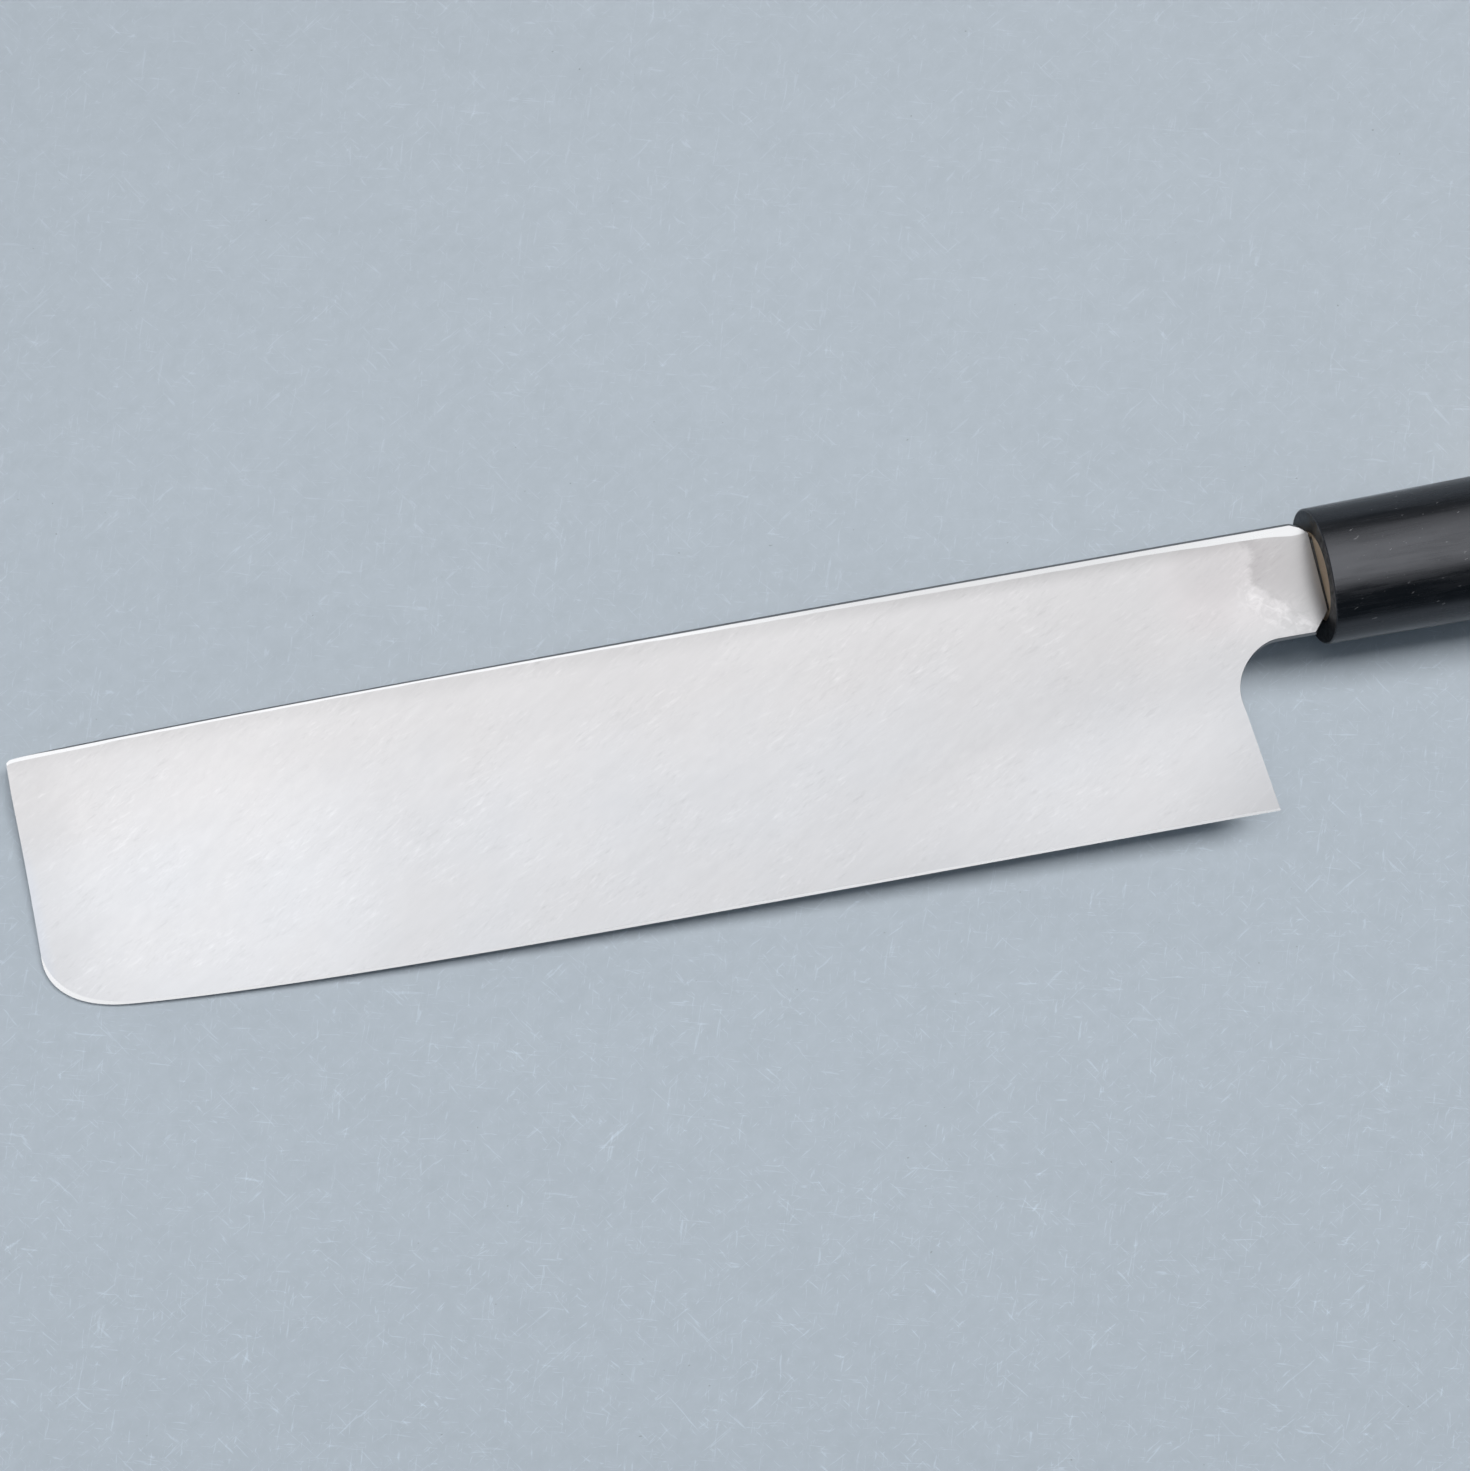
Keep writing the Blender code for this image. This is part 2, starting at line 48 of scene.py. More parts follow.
REST_TURN = (REST_ROLL, -REST_PITCH, 0.0)
REST_MATRIX = Matrix.Translation(KNIFE_ORIGIN) @ Euler(REST_TURN).to_matrix().to_4x4()

# Blade outline. A curve is a cubic Bezier: its start, two handles and its end.
SHOULDER_X = 195.5 * MM
TIP_TOP = (1.05 * MM, 7.6 * MM)
TIP_BEND = (0.75 * MM, 6.1 * MM)
TIP_FOOT = (-0.1 * MM, -22.0 * MM)
SPINE_CURVE = (
    (1.4 * MM, 7.82 * MM),
    (1.0 * MM, 9.3 * MM),
    (141.0 * MM, 8.9 * MM),
    (SHOULDER_X - 1.2 * MM, 8.35 * MM),
)
CORNER_CURVE = (
    TIP_FOOT,
    (-0.77 * MM, -27.7 * MM),
    (4.2 * MM, -31.0 * MM),
    (11.6 * MM, -31.6 * MM),
)
EDGE_CURVE = (
    CORNER_CURVE[-1],
    (45.0 * MM, -34.45 * MM),
    (125.0 * MM, -33.0 * MM),
    (186.75 * MM, -32.95 * MM),
)
EDGE_Y = -33.35 * MM
NOTCH_RADIUS = 6.67 * MM
NOTCH_CENTRE = (190.33 * MM, -14.97 * MM)
NOTCH_START_ANGLE = math.radians(190)
NECK_UNDER_Y = NOTCH_CENTRE[1] + NOTCH_RADIUS
NECK_UNDER_END = (SHOULDER_X + 0.4 * MM, NECK_UNDER_Y)
NECK_END_UNDER = (197.85 * MM, -5.05 * MM)
NECK_END_TOP = (196.7 * MM, 6.6 * MM)
SHOULDER_TOP = (SHOULDER_X + 0.2 * MM, 7.75 * MM)

# Blade thickness
TIP_THICKNESS = 1.9 * MM
NECK_THICKNESS = 3.2 * MM
EDGE_LAND = 0.1 * MM
BEVEL_WIDTH = 23.0 * MM
BEVEL_CROWN = 0.07 * MM
RIDGE_Y = EDGE_Y + BEVEL_WIDTH

# Easing of the edges that aren't ground sharp
EASED_CORNER = 0.22 * MM
EASED_SPINE = 0.30 * MM              # the spine's easing grows to this along the blade
EASED_NOTCH = 0.04 * MM
EASED_NECK = 0.48 * MM               # the notch's easing grows to this along the neck
EASED_TIP = 0.06                     # share of the easing that is left at the very tip
EASED_FROM_X = 2.0 * MM              # the spine's easing fades out towards the tip
EASED_FULL_X = 12.0 * MM
EASED_GROWTH_X = (60.0 * MM, 110.0 * MM)
EASING_PROFILE = ((1.0, 0.0), (0.86, 0.04), (0.12, 0.86), (0.0, 1.1))

# Hollow of the back and the narrow flats that frame it, whose borders waver slightly
HOLLOW_DEPTH = 0.35 * MM
HOLLOW_RUNOUT = 20.0 * MM
HOLLOW_FADE_X = (166.0 * MM, 189.0 * MM)
SPINE_FLAT = (                       # width of the spine's flat, at stations along X
    (0.0, 0.45 * MM),
    (4.5 * MM, 0.62 * MM),
    (9.5 * MM, 0.50 * MM),
    (20.0 * MM, 0.36 * MM),
    (50.0 * MM, 0.30 * MM),
    (85.0 * MM, 0.32 * MM),
    (120.0 * MM, 0.55 * MM),
    (156.0 * MM, 0.74 * MM),
    (174.0 * MM, 0.70 * MM),
    (189.0 * MM, 1.10 * MM),
    (196.0 * MM, 1.60 * MM),
)
EDGE_FLAT = 0.38 * MM
CORNER_FLAT = 0.62 * MM
CORNER_PEAK = 0.75                   # below 1, the corner's flat is widest nearer the tip
FLAT_RIPPLE = 0.06 * MM
RIPPLE_WAVES = ((0.42, 6.7, 0.4), (0.33, 15.1, 2.1), (0.25, 31.0, 4.4))    # share, mm, phase

# Tang
TANG_TOP = (197.1 * MM, 5.6 * MM)
TANG_UNDER = (198.15 * MM, -4.8 * MM)
TANG_THICKNESS = 2.4 * MM
TANG_END_X = 290.0 * MM
TANG_END_HALF_HEIGHT = 2.6 * MM
TANG_END_THICKNESS = 2.0 * MM
TANG_POINT = 6.5 * MM
TANG_POINT_SHAPE = ((0.6, 0.8), (1.0, 0.3))

# Handle
FERRULE_X = 197.4 * MM
FERRULE_LENGTH = 28.0 * MM
FERRULE_LEAN = 0.03
HANDLE_LENGTH = 134.0 * MM
TANG_Z = -NECK_THICKNESS / 2
AXIS_Z = TANG_Z - 0.8 * MM
FINER = 0.01 * MM                    # keeps these finer ovals inside the CAD's coarser ones
FRONT_HALF_HEIGHT = 10.15 * MM
FRONT_HALF_THICKNESS = 7.8 * MM
BUTT_HALF_HEIGHT = 11.6 * MM
BUTT_HALF_THICKNESS = 8.9 * MM
OVAL_POWER = 2.15
FERRULE_WALL = (3.4 * MM, 2.1 * MM)  # at the ends of the oval, and at its flatter sides
FERRULE_ROUNDING = 0.28 * MM
BORE_ROUNDING = 0.25 * MM
JOINT_ROUNDING = 0.2 * MM
JOINT_GAP = 0.03 * MM
BUTT_ROUNDING = 2.0 * MM
TENON_RECESS = 0.35 * MM
TENON_LEAN = 0.09
SLOT_CLEARANCE = 0.25 * MM
SLOT_SPARE = 3.0 * MM
SLOT_CUT_AHEAD = 2.0 * MM

# Fineness of the meshes
TIP_ROWS = 12
CURVE_STEPS = 130
CORNER_STEPS = 36
NOTCH_STEPS = 24
HEEL_STEPS = 8
GRID_STEP = 2.2 * MM
FRONT_GRID_STEP = 4.4 * MM
GRID_CLEAR = 1.0 * MM                # the grid keeps this far from the flats' borders
OVAL_SIDES = 160
HANDLE_ROUND_STEPS = 8
FERRULE_RUNS = 8
HANDLE_RUNS = 24
POINT_TOLERANCE = 1e-8
INSIDE_ONLY = 1                      # fills only the inside of an outline
BLADE_CREASE = 20                    # in degrees; sharper turns stay crisp
HANDLE_CREASE = 50
BORDER_REACH = 5 * MM                # the ground face's border runs past the outline

# Finishes of the blade, in the order of its material slots
HOLLOW, FLAT, SPINE, FRONT, BEVEL, TANG = range(6)


def bezier(curve, steps):
    """Points of a cubic Bezier curve in the plane of the blade, both ends included."""
    points = [Vector((x, y, 0)) for x, y in curve]
    return [(p.x, p.y) for p in interpolate_bezier(*points, steps + 1)]


def smoothstep(low, high, value):
    t = min(max((value - low) / (high - low), 0.0), 1.0)
    return t * t * (3 - 2 * t)


def ripple(x):
    """Slight unevenness of a hand-stoned line, between -1 and 1."""
    return sum(share * math.sin(x / MM * 2 * math.pi / length + phase)
               for share, length, phase in RIPPLE_WAVES)


def tip_x(y):
    """X of the tip line at a height; above its bend it leans back to the worn corner."""
    upper, lower = (TIP_TOP, TIP_BEND) if y > TIP_BEND[1] else (TIP_BEND, TIP_FOOT)
    share = (y - lower[1]) / (upper[1] - lower[1])
    return lower[0] + (upper[0] - lower[0]) * share


def tip_line():
    top, foot = TIP_TOP[1], TIP_FOOT[1]
    stops = [top, top - SPINE_FLAT[0][1]]
    stops += [top + (foot - top) * (i + 1) / (TIP_ROWS + 1) for i in range(1, TIP_ROWS)]
    return [(tip_x(y), y) for y in stops]


def corner_line():
    return bezier(CORNER_CURVE, CORNER_STEPS)


def edge_line():
    return bezier(EDGE_CURVE, CURVE_STEPS)


def notch_line():
    points = []
    for i in range(NOTCH_STEPS + 1):
        angle = NOTCH_START_ANGLE + (math.pi / 2 - NOTCH_START_ANGLE) * i / NOTCH_STEPS
        x = NOTCH_CENTRE[0] + NOTCH_RADIUS * math.cos(angle)
        points.append((x, NOTCH_CENTRE[1] + NOTCH_RADIUS * math.sin(angle)))
    return points


def heel_line():
    heel = Vector(EDGE_CURVE[-1])
    span = Vector(notch_line()[0]) - heel
    shares = [EDGE_FLAT / span.length] + [i / HEEL_STEPS for i in range(1, HEEL_STEPS)]
    return [tuple(heel + span * share) for share in shares]


def spine_line():
    return bezier(SPINE_CURVE, CURVE_STEPS)


def tang_line():
    start_x = TANG_END_X - TANG_POINT
    point = [(start_x, TANG_END_HALF_HEIGHT)]
    for along, height in TANG_POINT_SHAPE:
        point.append((start_x + along * TANG_POINT, height * TANG_END_HALF_HEIGHT))
    under = [(x, -y) for x, y in point]
    return [TANG_UNDER] + under + point[::-1] + [TANG_TOP]


def eased_spine(x):
    """Easing of the spine's edge at X: the stone leaves almost none at the very tip."""
    share = EASED_TIP + (1 - EASED_TIP) * smoothstep(EASED_FROM_X, EASED_FULL_X, x)
    growth = (EASED_SPINE - EASED_CORNER) * smoothstep(*EASED_GROWTH_X, x)
    return (EASED_CORNER + growth) * share


def eased_notch(x):
    """Easing of the notch's edge at X: crisp at the heel and generous under the neck."""
    start_x = NOTCH_CENTRE[0] - NOTCH_RADIUS
    return EASED_NOTCH + (EASED_NECK - EASED_NOTCH) * smoothstep(start_x, NOTCH_CENTRE[0], x)


def blade_outline():
    """Whole outline, counter-clockwise from the spine, and the easing of each point."""
    spine = spine_line()
    ground = tip_line() + corner_line() + edge_line()[1:] + heel_line()
    outline = [(point, 0.0) for point in ground]
    outline += [(point, eased_notch(point[0])) for point in notch_line() + [NECK_UNDER_END]]
    outline += [(point, 0.0) for point in [NECK_END_UNDER] + tang_line() + [NECK_END_TOP]]
    outline.append((SHOULDER_TOP, EASED_SPINE))
    outline += [(point, eased_spine(point[0])) for point in spine[:0:-1]]
    outline.append((spine[0], 0.0))
    return outline


def inset_outline(outline, share):
    """Points moved inward by a share of their easing."""
    count = len(outline)
    inset = []
    for i, (point, easing) in enumerate(outline):
        along = Vector(outline[(i + 1) % count][0]) - Vector(outline[i - 1][0])
        inward = Vector((-along.y, along.x)).normalized()
        inset.append(tuple(Vector(point) + inward * easing * share))
    return inset


def spine_flat_width(x):
    """Visible width of the flat along the spine, blended between its stations."""
    width = SPINE_FLAT[-1][1]
    for (x0, w0), (x1, w1) in zip(SPINE_FLAT, SPINE_FLAT[1:]):
        if x0 <= x < x1:
            width = w0 + (w1 - w0) * smoothstep(x0, x1, x)
    return width + eased_spine(x) + FLAT_RIPPLE * ripple(x)


def upper_flat_line():
    """Inner border of the flat along the spine, up to the rounded shoulder."""
    along = [(x, y - spine_flat_width(x)) for x, y in spine_line()]
    along[0] = tip_line()[1]
    return along + [NECK_END_TOP]


def lower_flat_line():
    """Inner border of the flat round the corner of the tip and along the edge."""
    outer = corner_line() + edge_line()[1:]
    inner = [outer[0]]
    for i in range(1, len(outer) - 1):
        along = Vector(outer[i + 1]) - Vector(outer[i - 1])
        inward = Vector((-along.y, along.x)).normalized()
        width = EDGE_FLAT
        if i < CORNER_STEPS:
            turn = i / CORNER_STEPS
            width = EDGE_FLAT * turn + CORNER_FLAT * math.sin(math.pi * turn ** CORNER_PEAK)
        width += FLAT_RIPPLE * ripple(outer[i][0]) * min(i / CORNER_STEPS, 1.0)
        inner.append(tuple(Vector(outer[i]) + inward * width))
    return inner + heel_line()[:1]


def distance_to_line(point, line):
    here = Vector(point)
    best = (here - Vector(line[0])).length
    for a, b in zip(line, line[1:]):
        start = Vector(a)
        span = Vector(b) - start
        share = min(max((here - start).dot(span) / span.length_squared, 0.0), 1.0)
        best = min(best, (here - start - span * share).length)
    return best


def is_inside(point, polygon):
    """Even-odd test of a point against a closed polygon."""
    x, y = point
    inside = False
    for (x0, y0), (x1, y1) in zip(polygon, polygon[1:] + polygon[:1]):
        if (y0 > y) != (y1 > y) and x < x0 + (x1 - x0) * (y - y0) / (y1 - y0):
            inside = not inside
    return inside


def ground_border(upper, lower):
    """Closed border of the ground face between the flats, from the tip to the neck's end."""
    neck_end = [NECK_END_UNDER, (SHOULDER_X, NECK_UNDER_Y - BORDER_REACH)]
    at_heel = [(EDGE_CURVE[-1][0] + BORDER_REACH, lower[-1][1])]
    at_tip = [(-BORDER_REACH, upper[0][1]), (-BORDER_REACH, lower[0][1])]
    return lower + at_heel + neck_end[::-1] + upper[::-1] + at_tip


def is_tang(x, y):
    share = (y - NECK_END_UNDER[1]) / (NECK_END_TOP[1] - NECK_END_UNDER[1])
    end_x = NECK_END_UNDER[0] + (NECK_END_TOP[0] - NECK_END_UNDER[0]) * share
    return x > end_x + POINT_TOLERANCE


def thickness(x):
    return TIP_THICKNESS + (NECK_THICKNESS - TIP_THICKNESS) * x / FERRULE_X


def tang_thickness(x):
    along = min(max((x - FERRULE_X) / (TANG_END_X - FERRULE_X), 0.0), 1.0)
    return TANG_THICKNESS + (TANG_END_THICKNESS - TANG_THICKNESS) * along


def front_z(x, y):
    """Height of the front: a flat at full thickness, then the bevel down to the edge."""
    if is_tang(x, y):
        return TANG_Z - tang_thickness(x) / 2
    share = min(max((y - EDGE_Y) / BEVEL_WIDTH, 0.0), 1.0)
    swell = BEVEL_CROWN * 4 * share * (1 - share)
    return -EDGE_LAND - (thickness(x) - EDGE_LAND) * share - swell


def grid_points(polygon, step):
    """Evenly spread points inside a polygon, in rows that are offset by half a step."""
    xs = [point[0] for point in polygon]
    ys = [point[1] for point in polygon]
    points = []
    row = 0
    y = min(ys) + step / 2
    while y < max(ys):
        x = min(xs) + step / 2 * (1 + row % 2)
        while x < max(xs):
            if is_inside((x, y), polygon):
                points.append((x, y))
            x += step
        y += step * math.sin(math.pi / 3)
        row += 1
    return points


def fill_region(outline, lines, loose):
    """Triangles that fill an outline, with the given lines kept as edges."""
    points = [Vector(p) for p in outline]
    edges = []
    for line in lines:
        first = len(points)
        points += [Vector(p) for p in line]
        edges += [(first + i, first + i + 1) for i in range(len(line) - 1)]
    points += [Vector(p) for p in loose]
    border = list(range(len(outline)))
    filled = delaunay_2d_cdt(points, edges, [border], INSIDE_ONLY, POINT_TOLERANCE)
    return filled[0], filled[2], filled[3]


def add_skin(mesh, region, border, height, finish, faces_up):
    """Adds one filled side of the blade, sharing the vertices of its border."""
    points, triangles, sources = region
    vertices = []
    for point, source in zip(points, sources):
        on_border = [i for i in source if i < len(border)]
        if on_border:
            vertices.append(border[on_border[0]])
        else:
            vertices.append(mesh.verts.new((*point, height(*point))))
    for triangle in triangles:
        a, b, c = [points[i] for i in triangle]
        is_up = (b - a).cross(c - a) > 0
        corners = [vertices[i] for i in triangle]
        face = mesh.faces.new(corners if is_up == faces_up else corners[::-1])
        face.material_index = finish((a + b + c) / 3)


def add_band(mesh, upper, lower, finish=0):
    """Adds the strip between two rings, leaving out corners that the rings share."""
    count = len(upper)
    for i in range(count):
        j = (i + 1) % count
        corners = []
        for vertex in (upper[i], lower[i], lower[j], upper[j]):
            if vertex not in corners:
                corners.append(vertex)
        if len(corners) > 2:
            mesh.faces.new(corners).material_index = finish


def crease(mesh, angle):
    """Keeps an edge crisp where its faces turn or where the finish changes."""
    for edge in mesh.edges:
        faces = edge.link_faces
        if len(faces) == 2:
            same = faces[0].material_index == faces[1].material_index
            edge.smooth = same and faces[0].normal.angle(faces[1].normal, 0) < angle


def finish_piece(mesh, name, materials, node, crease_angle):
    """Turns a bmesh in the knife's frame into a dressed piece laid in the CAD's frame."""
    mesh.transform(REST_MATRIX)
    mesh.normal_update()
    for face in mesh.faces:
        face.smooth = True
    crease(mesh, math.radians(crease_angle))
    data = bpy.data.meshes.new(name)
    mesh.to_mesh(data)
    mesh.free()
    for material in materials:
        data.materials.append(material)
    piece = bpy.data.objects.new(name, data)
    bpy.context.collection.objects.link(piece)
    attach(piece, "root")
    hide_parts(node)
    return piece


def make_blade(materials):
    upper = upper_flat_line()
    lower = lower_flat_line()
    border = ground_border(upper, lower)
    neck_end = [NECK_END_TOP, NECK_END_UNDER]
    tang_root = [TANG_TOP, TANG_UNDER]

    def back_z(x, y):
        if is_tang(x, y):
            return TANG_Z + tang_thickness(x) / 2
        if not is_inside((x, y), border):
            return 0.0
        near = min(distance_to_line((x, y), line) for line in (upper, lower))
        rest = 1 - min(near / HOLLOW_RUNOUT, 1.0)
        return -HOLLOW_DEPTH * (1 - rest * rest) * (1 - smoothstep(*HOLLOW_FADE_X, x))

    def back_finish(centre):
        if is_tang(centre.x, centre.y):
            return TANG
        return HOLLOW if is_inside(centre, border) else FLAT

    def front_finish(centre):
        if is_tang(centre.x, centre.y):
            return TANG
        return BEVEL if centre.y < RIDGE_Y else FRONT

    mesh = bmesh.new()
    outline = blade_outline()
    rings = {1: [], -1: []}
    for step, (share, drop) in enumerate(EASING_PROFILE):
        inset = inset_outline(outline, share)
        for side, ring in rings.items():
            row = []
            for i, (point, (_, easing)) in enumerate(zip(inset, outline)):
                if step and not easing:
                    row.append(ring[0][i])
                    continue
                z = back_z(*point) if side > 0 else front_z(*point)
                row.append(mesh.verts.new((*point, z - side * easing * drop)))
            ring.append(row)
    inset = inset_outline(outline, 1)
    blade_only = [p for p in inset if p[0] < NECK_UNDER_END[0]]

    lines = (upper, lower, neck_end, tang_root)
    grid = [p for p in grid_points(blade_only, GRID_STEP)
            if min(distance_to_line(p, line) for line in lines) > GRID_CLEAR]
    back_fill = fill_region(inset, lines, grid)
    add_skin(mesh, back_fill, rings[1][0], back_z, back_finish, True)

    ridge_y = RIDGE_Y
    at_notch = min(notch_line(), key=lambda point: abs(point[1] - ridge_y))
    near_notch = min(inset, key=lambda point: (Vector(point) - Vector(at_notch)).length)
    start = Vector((tip_x(ridge_y), ridge_y))
    span = Vector(near_notch) - start
    ridge = [tuple(start + span * i / CURVE_STEPS) for i in range(CURVE_STEPS + 1)]
    lines = (ridge, neck_end, tang_root)
    grid = [p for p in grid_points(blade_only, FRONT_GRID_STEP)
            if min(distance_to_line(p, line) for line in lines) > GRID_CLEAR]
    front_fill = fill_region(inset, lines, grid)
    add_skin(mesh, front_fill, rings[-1][0], front_z, front_finish, False)

    for upper_ring, lower_ring in zip(rings[1], rings[1][1:]):
        add_band(mesh, upper_ring, lower_ring, SPINE)
    for upper_ring, lower_ring in zip(rings[-1], rings[-1][1:]):
        add_band(mesh, lower_ring, upper_ring, SPINE)
    add_band(mesh, rings[1][-1], rings[-1][-1], SPINE)
    finish_piece(mesh, "blade_steel", materials, "blade", BLADE_CREASE)


def handle_size(x):
    share = (x - FERRULE_X) / HANDLE_LENGTH
    height = FRONT_HALF_HEIGHT + (BUTT_HALF_HEIGHT - FRONT_HALF_HEIGHT) * share
    depth = FRONT_HALF_THICKNESS + (BUTT_HALF_THICKNESS - FRONT_HALF_THICKNESS) * share
    return height - FINER, depth - FINER


def oval_ring(mesh, x, inset, lean):
    half_height, half_depth = [size - cut for size, cut in zip(handle_size(x), inset)]
    ring = []
    for i in range(OVAL_SIDES):
        angle = 2 * math.pi * i / OVAL_SIDES
        c = math.cos(angle)
        s = math.sin(angle)
        y = half_height * math.copysign(abs(c) ** (2 / OVAL_POWER), c)
        z = half_depth * math.copysign(abs(s) ** (2 / OVAL_POWER), s)
        ring.append(mesh.verts.new((x - lean * y, y, AXIS_Z + z)))
    return ring


def rounding(x, radius, direction, lean=0.0):
    """Stations of a quarter-round edge: direction 1 widens along X, and -1 narrows."""
    stations = []
    for i in range(HANDLE_ROUND_STEPS + 1):
        angle = math.pi / 2 * i / HANDLE_ROUND_STEPS
        cut = radius * (1 - math.sin(angle))
        stations.append((x + direction * radius * (1 - math.cos(angle)), (cut, cut), lean))
    return stations if direction > 0 else stations[::-1]


def loft(mesh, stations, closed, second_from=None):
    """Skins oval rings; the bands from a station on take the second finish."""
    rings = [oval_ring(mesh, x, inset, lean) for x, inset, lean in stations]
    pairs = list(zip(rings, rings[1:]))
    if closed:
        pairs.append((rings[-1], rings[0]))
    else:
        mesh.faces.new(rings[0][::-1])
        mesh.faces.new(rings[-1])
    for i, (front, rear) in enumerate(pairs):
        is_second = second_from is not None and i >= second_from
        add_band(mesh, rear, front, int(is_second))


def bore_mouth(x, radius, lean):
    """Stations of the rounded inner lip of the ferrule's mouth, from the bore outwards."""
    stations = []
    for i in range(HANDLE_ROUND_STEPS + 1):
        angle = math.pi / 2 * i / HANDLE_ROUND_STEPS
        forward = radius * (1 - math.sin(angle))
        inset = [wall - radius * (1 - math.cos(angle)) for wall in FERRULE_WALL]
        stations.append((x + forward, inset, lean))
    return stations


def make_ferrule(materials):
    rear_x = FERRULE_X + FERRULE_LENGTH
    start_x = FERRULE_X + FERRULE_ROUNDING
    stations = rounding(FERRULE_X, FERRULE_ROUNDING, 1, FERRULE_LEAN)
    length = rear_x - JOINT_ROUNDING - start_x
    for i in range(1, FERRULE_RUNS):
        share = i / FERRULE_RUNS
        stations.append((start_x + length * share, (0, 0), FERRULE_LEAN * (1 - share)))
    stations += rounding(rear_x, JOINT_ROUNDING, -1)
    outside = len(stations) - 1
    stations.append((rear_x, FERRULE_WALL, 0.0))
    stations += bore_mouth(FERRULE_X, BORE_ROUNDING, FERRULE_LEAN)
    mesh = bmesh.new()
    loft(mesh, stations, True, outside)
    finish_piece(mesh, "ferrule_collar", materials, "ferrule",
                 HANDLE_CREASE)


def slot_half_height(x, root):
    """Distance from the axis of the slot's side that follows the tang from a root point."""
    point_x = TANG_END_X - TANG_POINT
    share = (x - root[0]) / (point_x - root[0])
    root_half = abs(root[1]) + SLOT_CLEARANCE
    return root_half + (TANG_END_HALF_HEIGHT + SLOT_CLEARANCE - root_half) * share


def make_slot_cutter():
    """Tapered block that leaves the tang's slot in the wood."""
    front_x = FERRULE_X - SLOT_CUT_AHEAD
    end_half = TANG_END_HALF_HEIGHT + SLOT_CLEARANCE
    stations = [
        (front_x, -slot_half_height(front_x, TANG_UNDER), slot_half_height(front_x, TANG_TOP)),
        (TANG_END_X - TANG_POINT, -end_half, end_half),
        (TANG_END_X + SLOT_SPARE, -end_half, end_half),
    ]
    mesh = bmesh.new()
    rings = []
    for x, low, high in stations:
        half = tang_thickness(x) / 2 + SLOT_CLEARANCE
        corners = [(low, -half), (high, -half), (high, half), (low, half)]
        rings.append([mesh.verts.new((x, y, TANG_Z + z)) for y, z in corners])
    mesh.faces.new(rings[0][::-1])
    mesh.faces.new(rings[-1])
    for front, rear in zip(rings, rings[1:]):
        add_band(mesh, rear, front)
    mesh.transform(REST_MATRIX)
    data = bpy.data.meshes.new("slot_cutter")
    mesh.to_mesh(data)
    mesh.free()
    cutter = bpy.data.objects.new("slot_cutter", data)
    bpy.context.collection.objects.link(cutter)
    return cutter


def cut_slot(wood):
    """Cuts the tang's slot and applies the cut, so that the cutter can go."""
    cutter = make_slot_cutter()
    cut = wood.modifiers.new("slot", "BOOLEAN")
    cut.operation = "DIFFERENCE"
    cut.object = cutter
    bpy.context.view_layer.update()
    evaluated = wood.evaluated_get(bpy.context.evaluated_depsgraph_get())
    data = bpy.data.meshes.new_from_object(evaluated)
    wood.modifiers.clear()
    wood.data = data
    bpy.data.objects.remove(cutter, do_unlink=True)


def make_handle_wood(material):
    tenon_inset = [wall + JOINT_GAP for wall in FERRULE_WALL]
    body_x = FERRULE_X + FERRULE_LENGTH + JOINT_GAP
    start_x = body_x + JOINT_ROUNDING
    end_x = FERRULE_X + HANDLE_LENGTH
    tenon_x = FERRULE_X + TENON_RECESS
    stations = [(tenon_x, tenon_inset, TENON_LEAN), (body_x, tenon_inset, 0.0)]
    stations += rounding(body_x, JOINT_ROUNDING, 1)
    length = end_x - BUTT_ROUNDING - start_x
    for i in range(1, HANDLE_RUNS):
        stations.append((start_x + length * i / HANDLE_RUNS, (0, 0), 0.0))
    stations += rounding(end_x, BUTT_ROUNDING, -1)
    mesh = bmesh.new()
    loft(mesh, stations, False)
    wood = finish_piece(mesh, "handle_grip", [material], "handle_wood",
                        HANDLE_CREASE)
    cut_slot(wood)


class Grain(NamedTuple):
    """A noise pattern: size of its features in mm, their turn about Z, and its texture."""

    size: tuple
    turn: float = 0.0
    detail: float = 2.0
    roughness: float = 0.5
    distortion: float = 0.0
    shift: tuple = (0, 0, 0)         # in metres, to keep similar patterns apart


STROKES = Grain((1, 1, 1), roughness=0.6)
STROKE_SHIFT_SLOPE = 0.7


def stroke_grain(length, width, turn, shift=0.0):
    """Pattern of short strokes of a stone, drawn out along one direction."""
    moved = (shift, STROKE_SHIFT_SLOPE * shift, 0)
    return STROKES._replace(size=(length, width, 1), turn=turn, shift=moved)


# In the looks below, a ramp is given by the two ends of its input and, where they aren't
# 0 and 1, the two ends of its output. A patch is given by its middle, its size and its gain.

# Brightness of the hollow back
BACK_TONE = 0.46
BACK_LEVEL = 0.915
BACK_CLOUDS = Grain((30, 16, 1), 0.3, 3.0, 0.55)
BACK_CLOUD_GAIN = 0.08
STEEP_STROKES = stroke_grain(2.3, 0.60, math.radians(37))
SHALLOW_STROKES = stroke_grain(3.0, 0.55, math.radians(22), 0.2)
FINE_STROKES = stroke_grain(1.0, 0.36, math.radians(28), 0.4)
BROAD_STROKES = stroke_grain(8.0, 1.4, math.radians(31), 0.6)
FINE_GAIN = 0.08
BROAD_GAIN = 0.09
NICK_RAMPS = ((0.54, 0.74), (0.56, 0.76))    # bright parts of the steep and shallow strokes
NICK_GAIN = 0.10
DENT_RAMPS = ((0.46, 0.28), (0.42, 0.26))    # dark parts of the same strokes
DENT_GAIN = -0.08
MARKS_MEAN = 0.04                            # taken off, so that marks keep the tone
WORKED = Grain((9, 6, 1), 0.5, 2.0, 0.6, shift=(0.1, 0, 0))
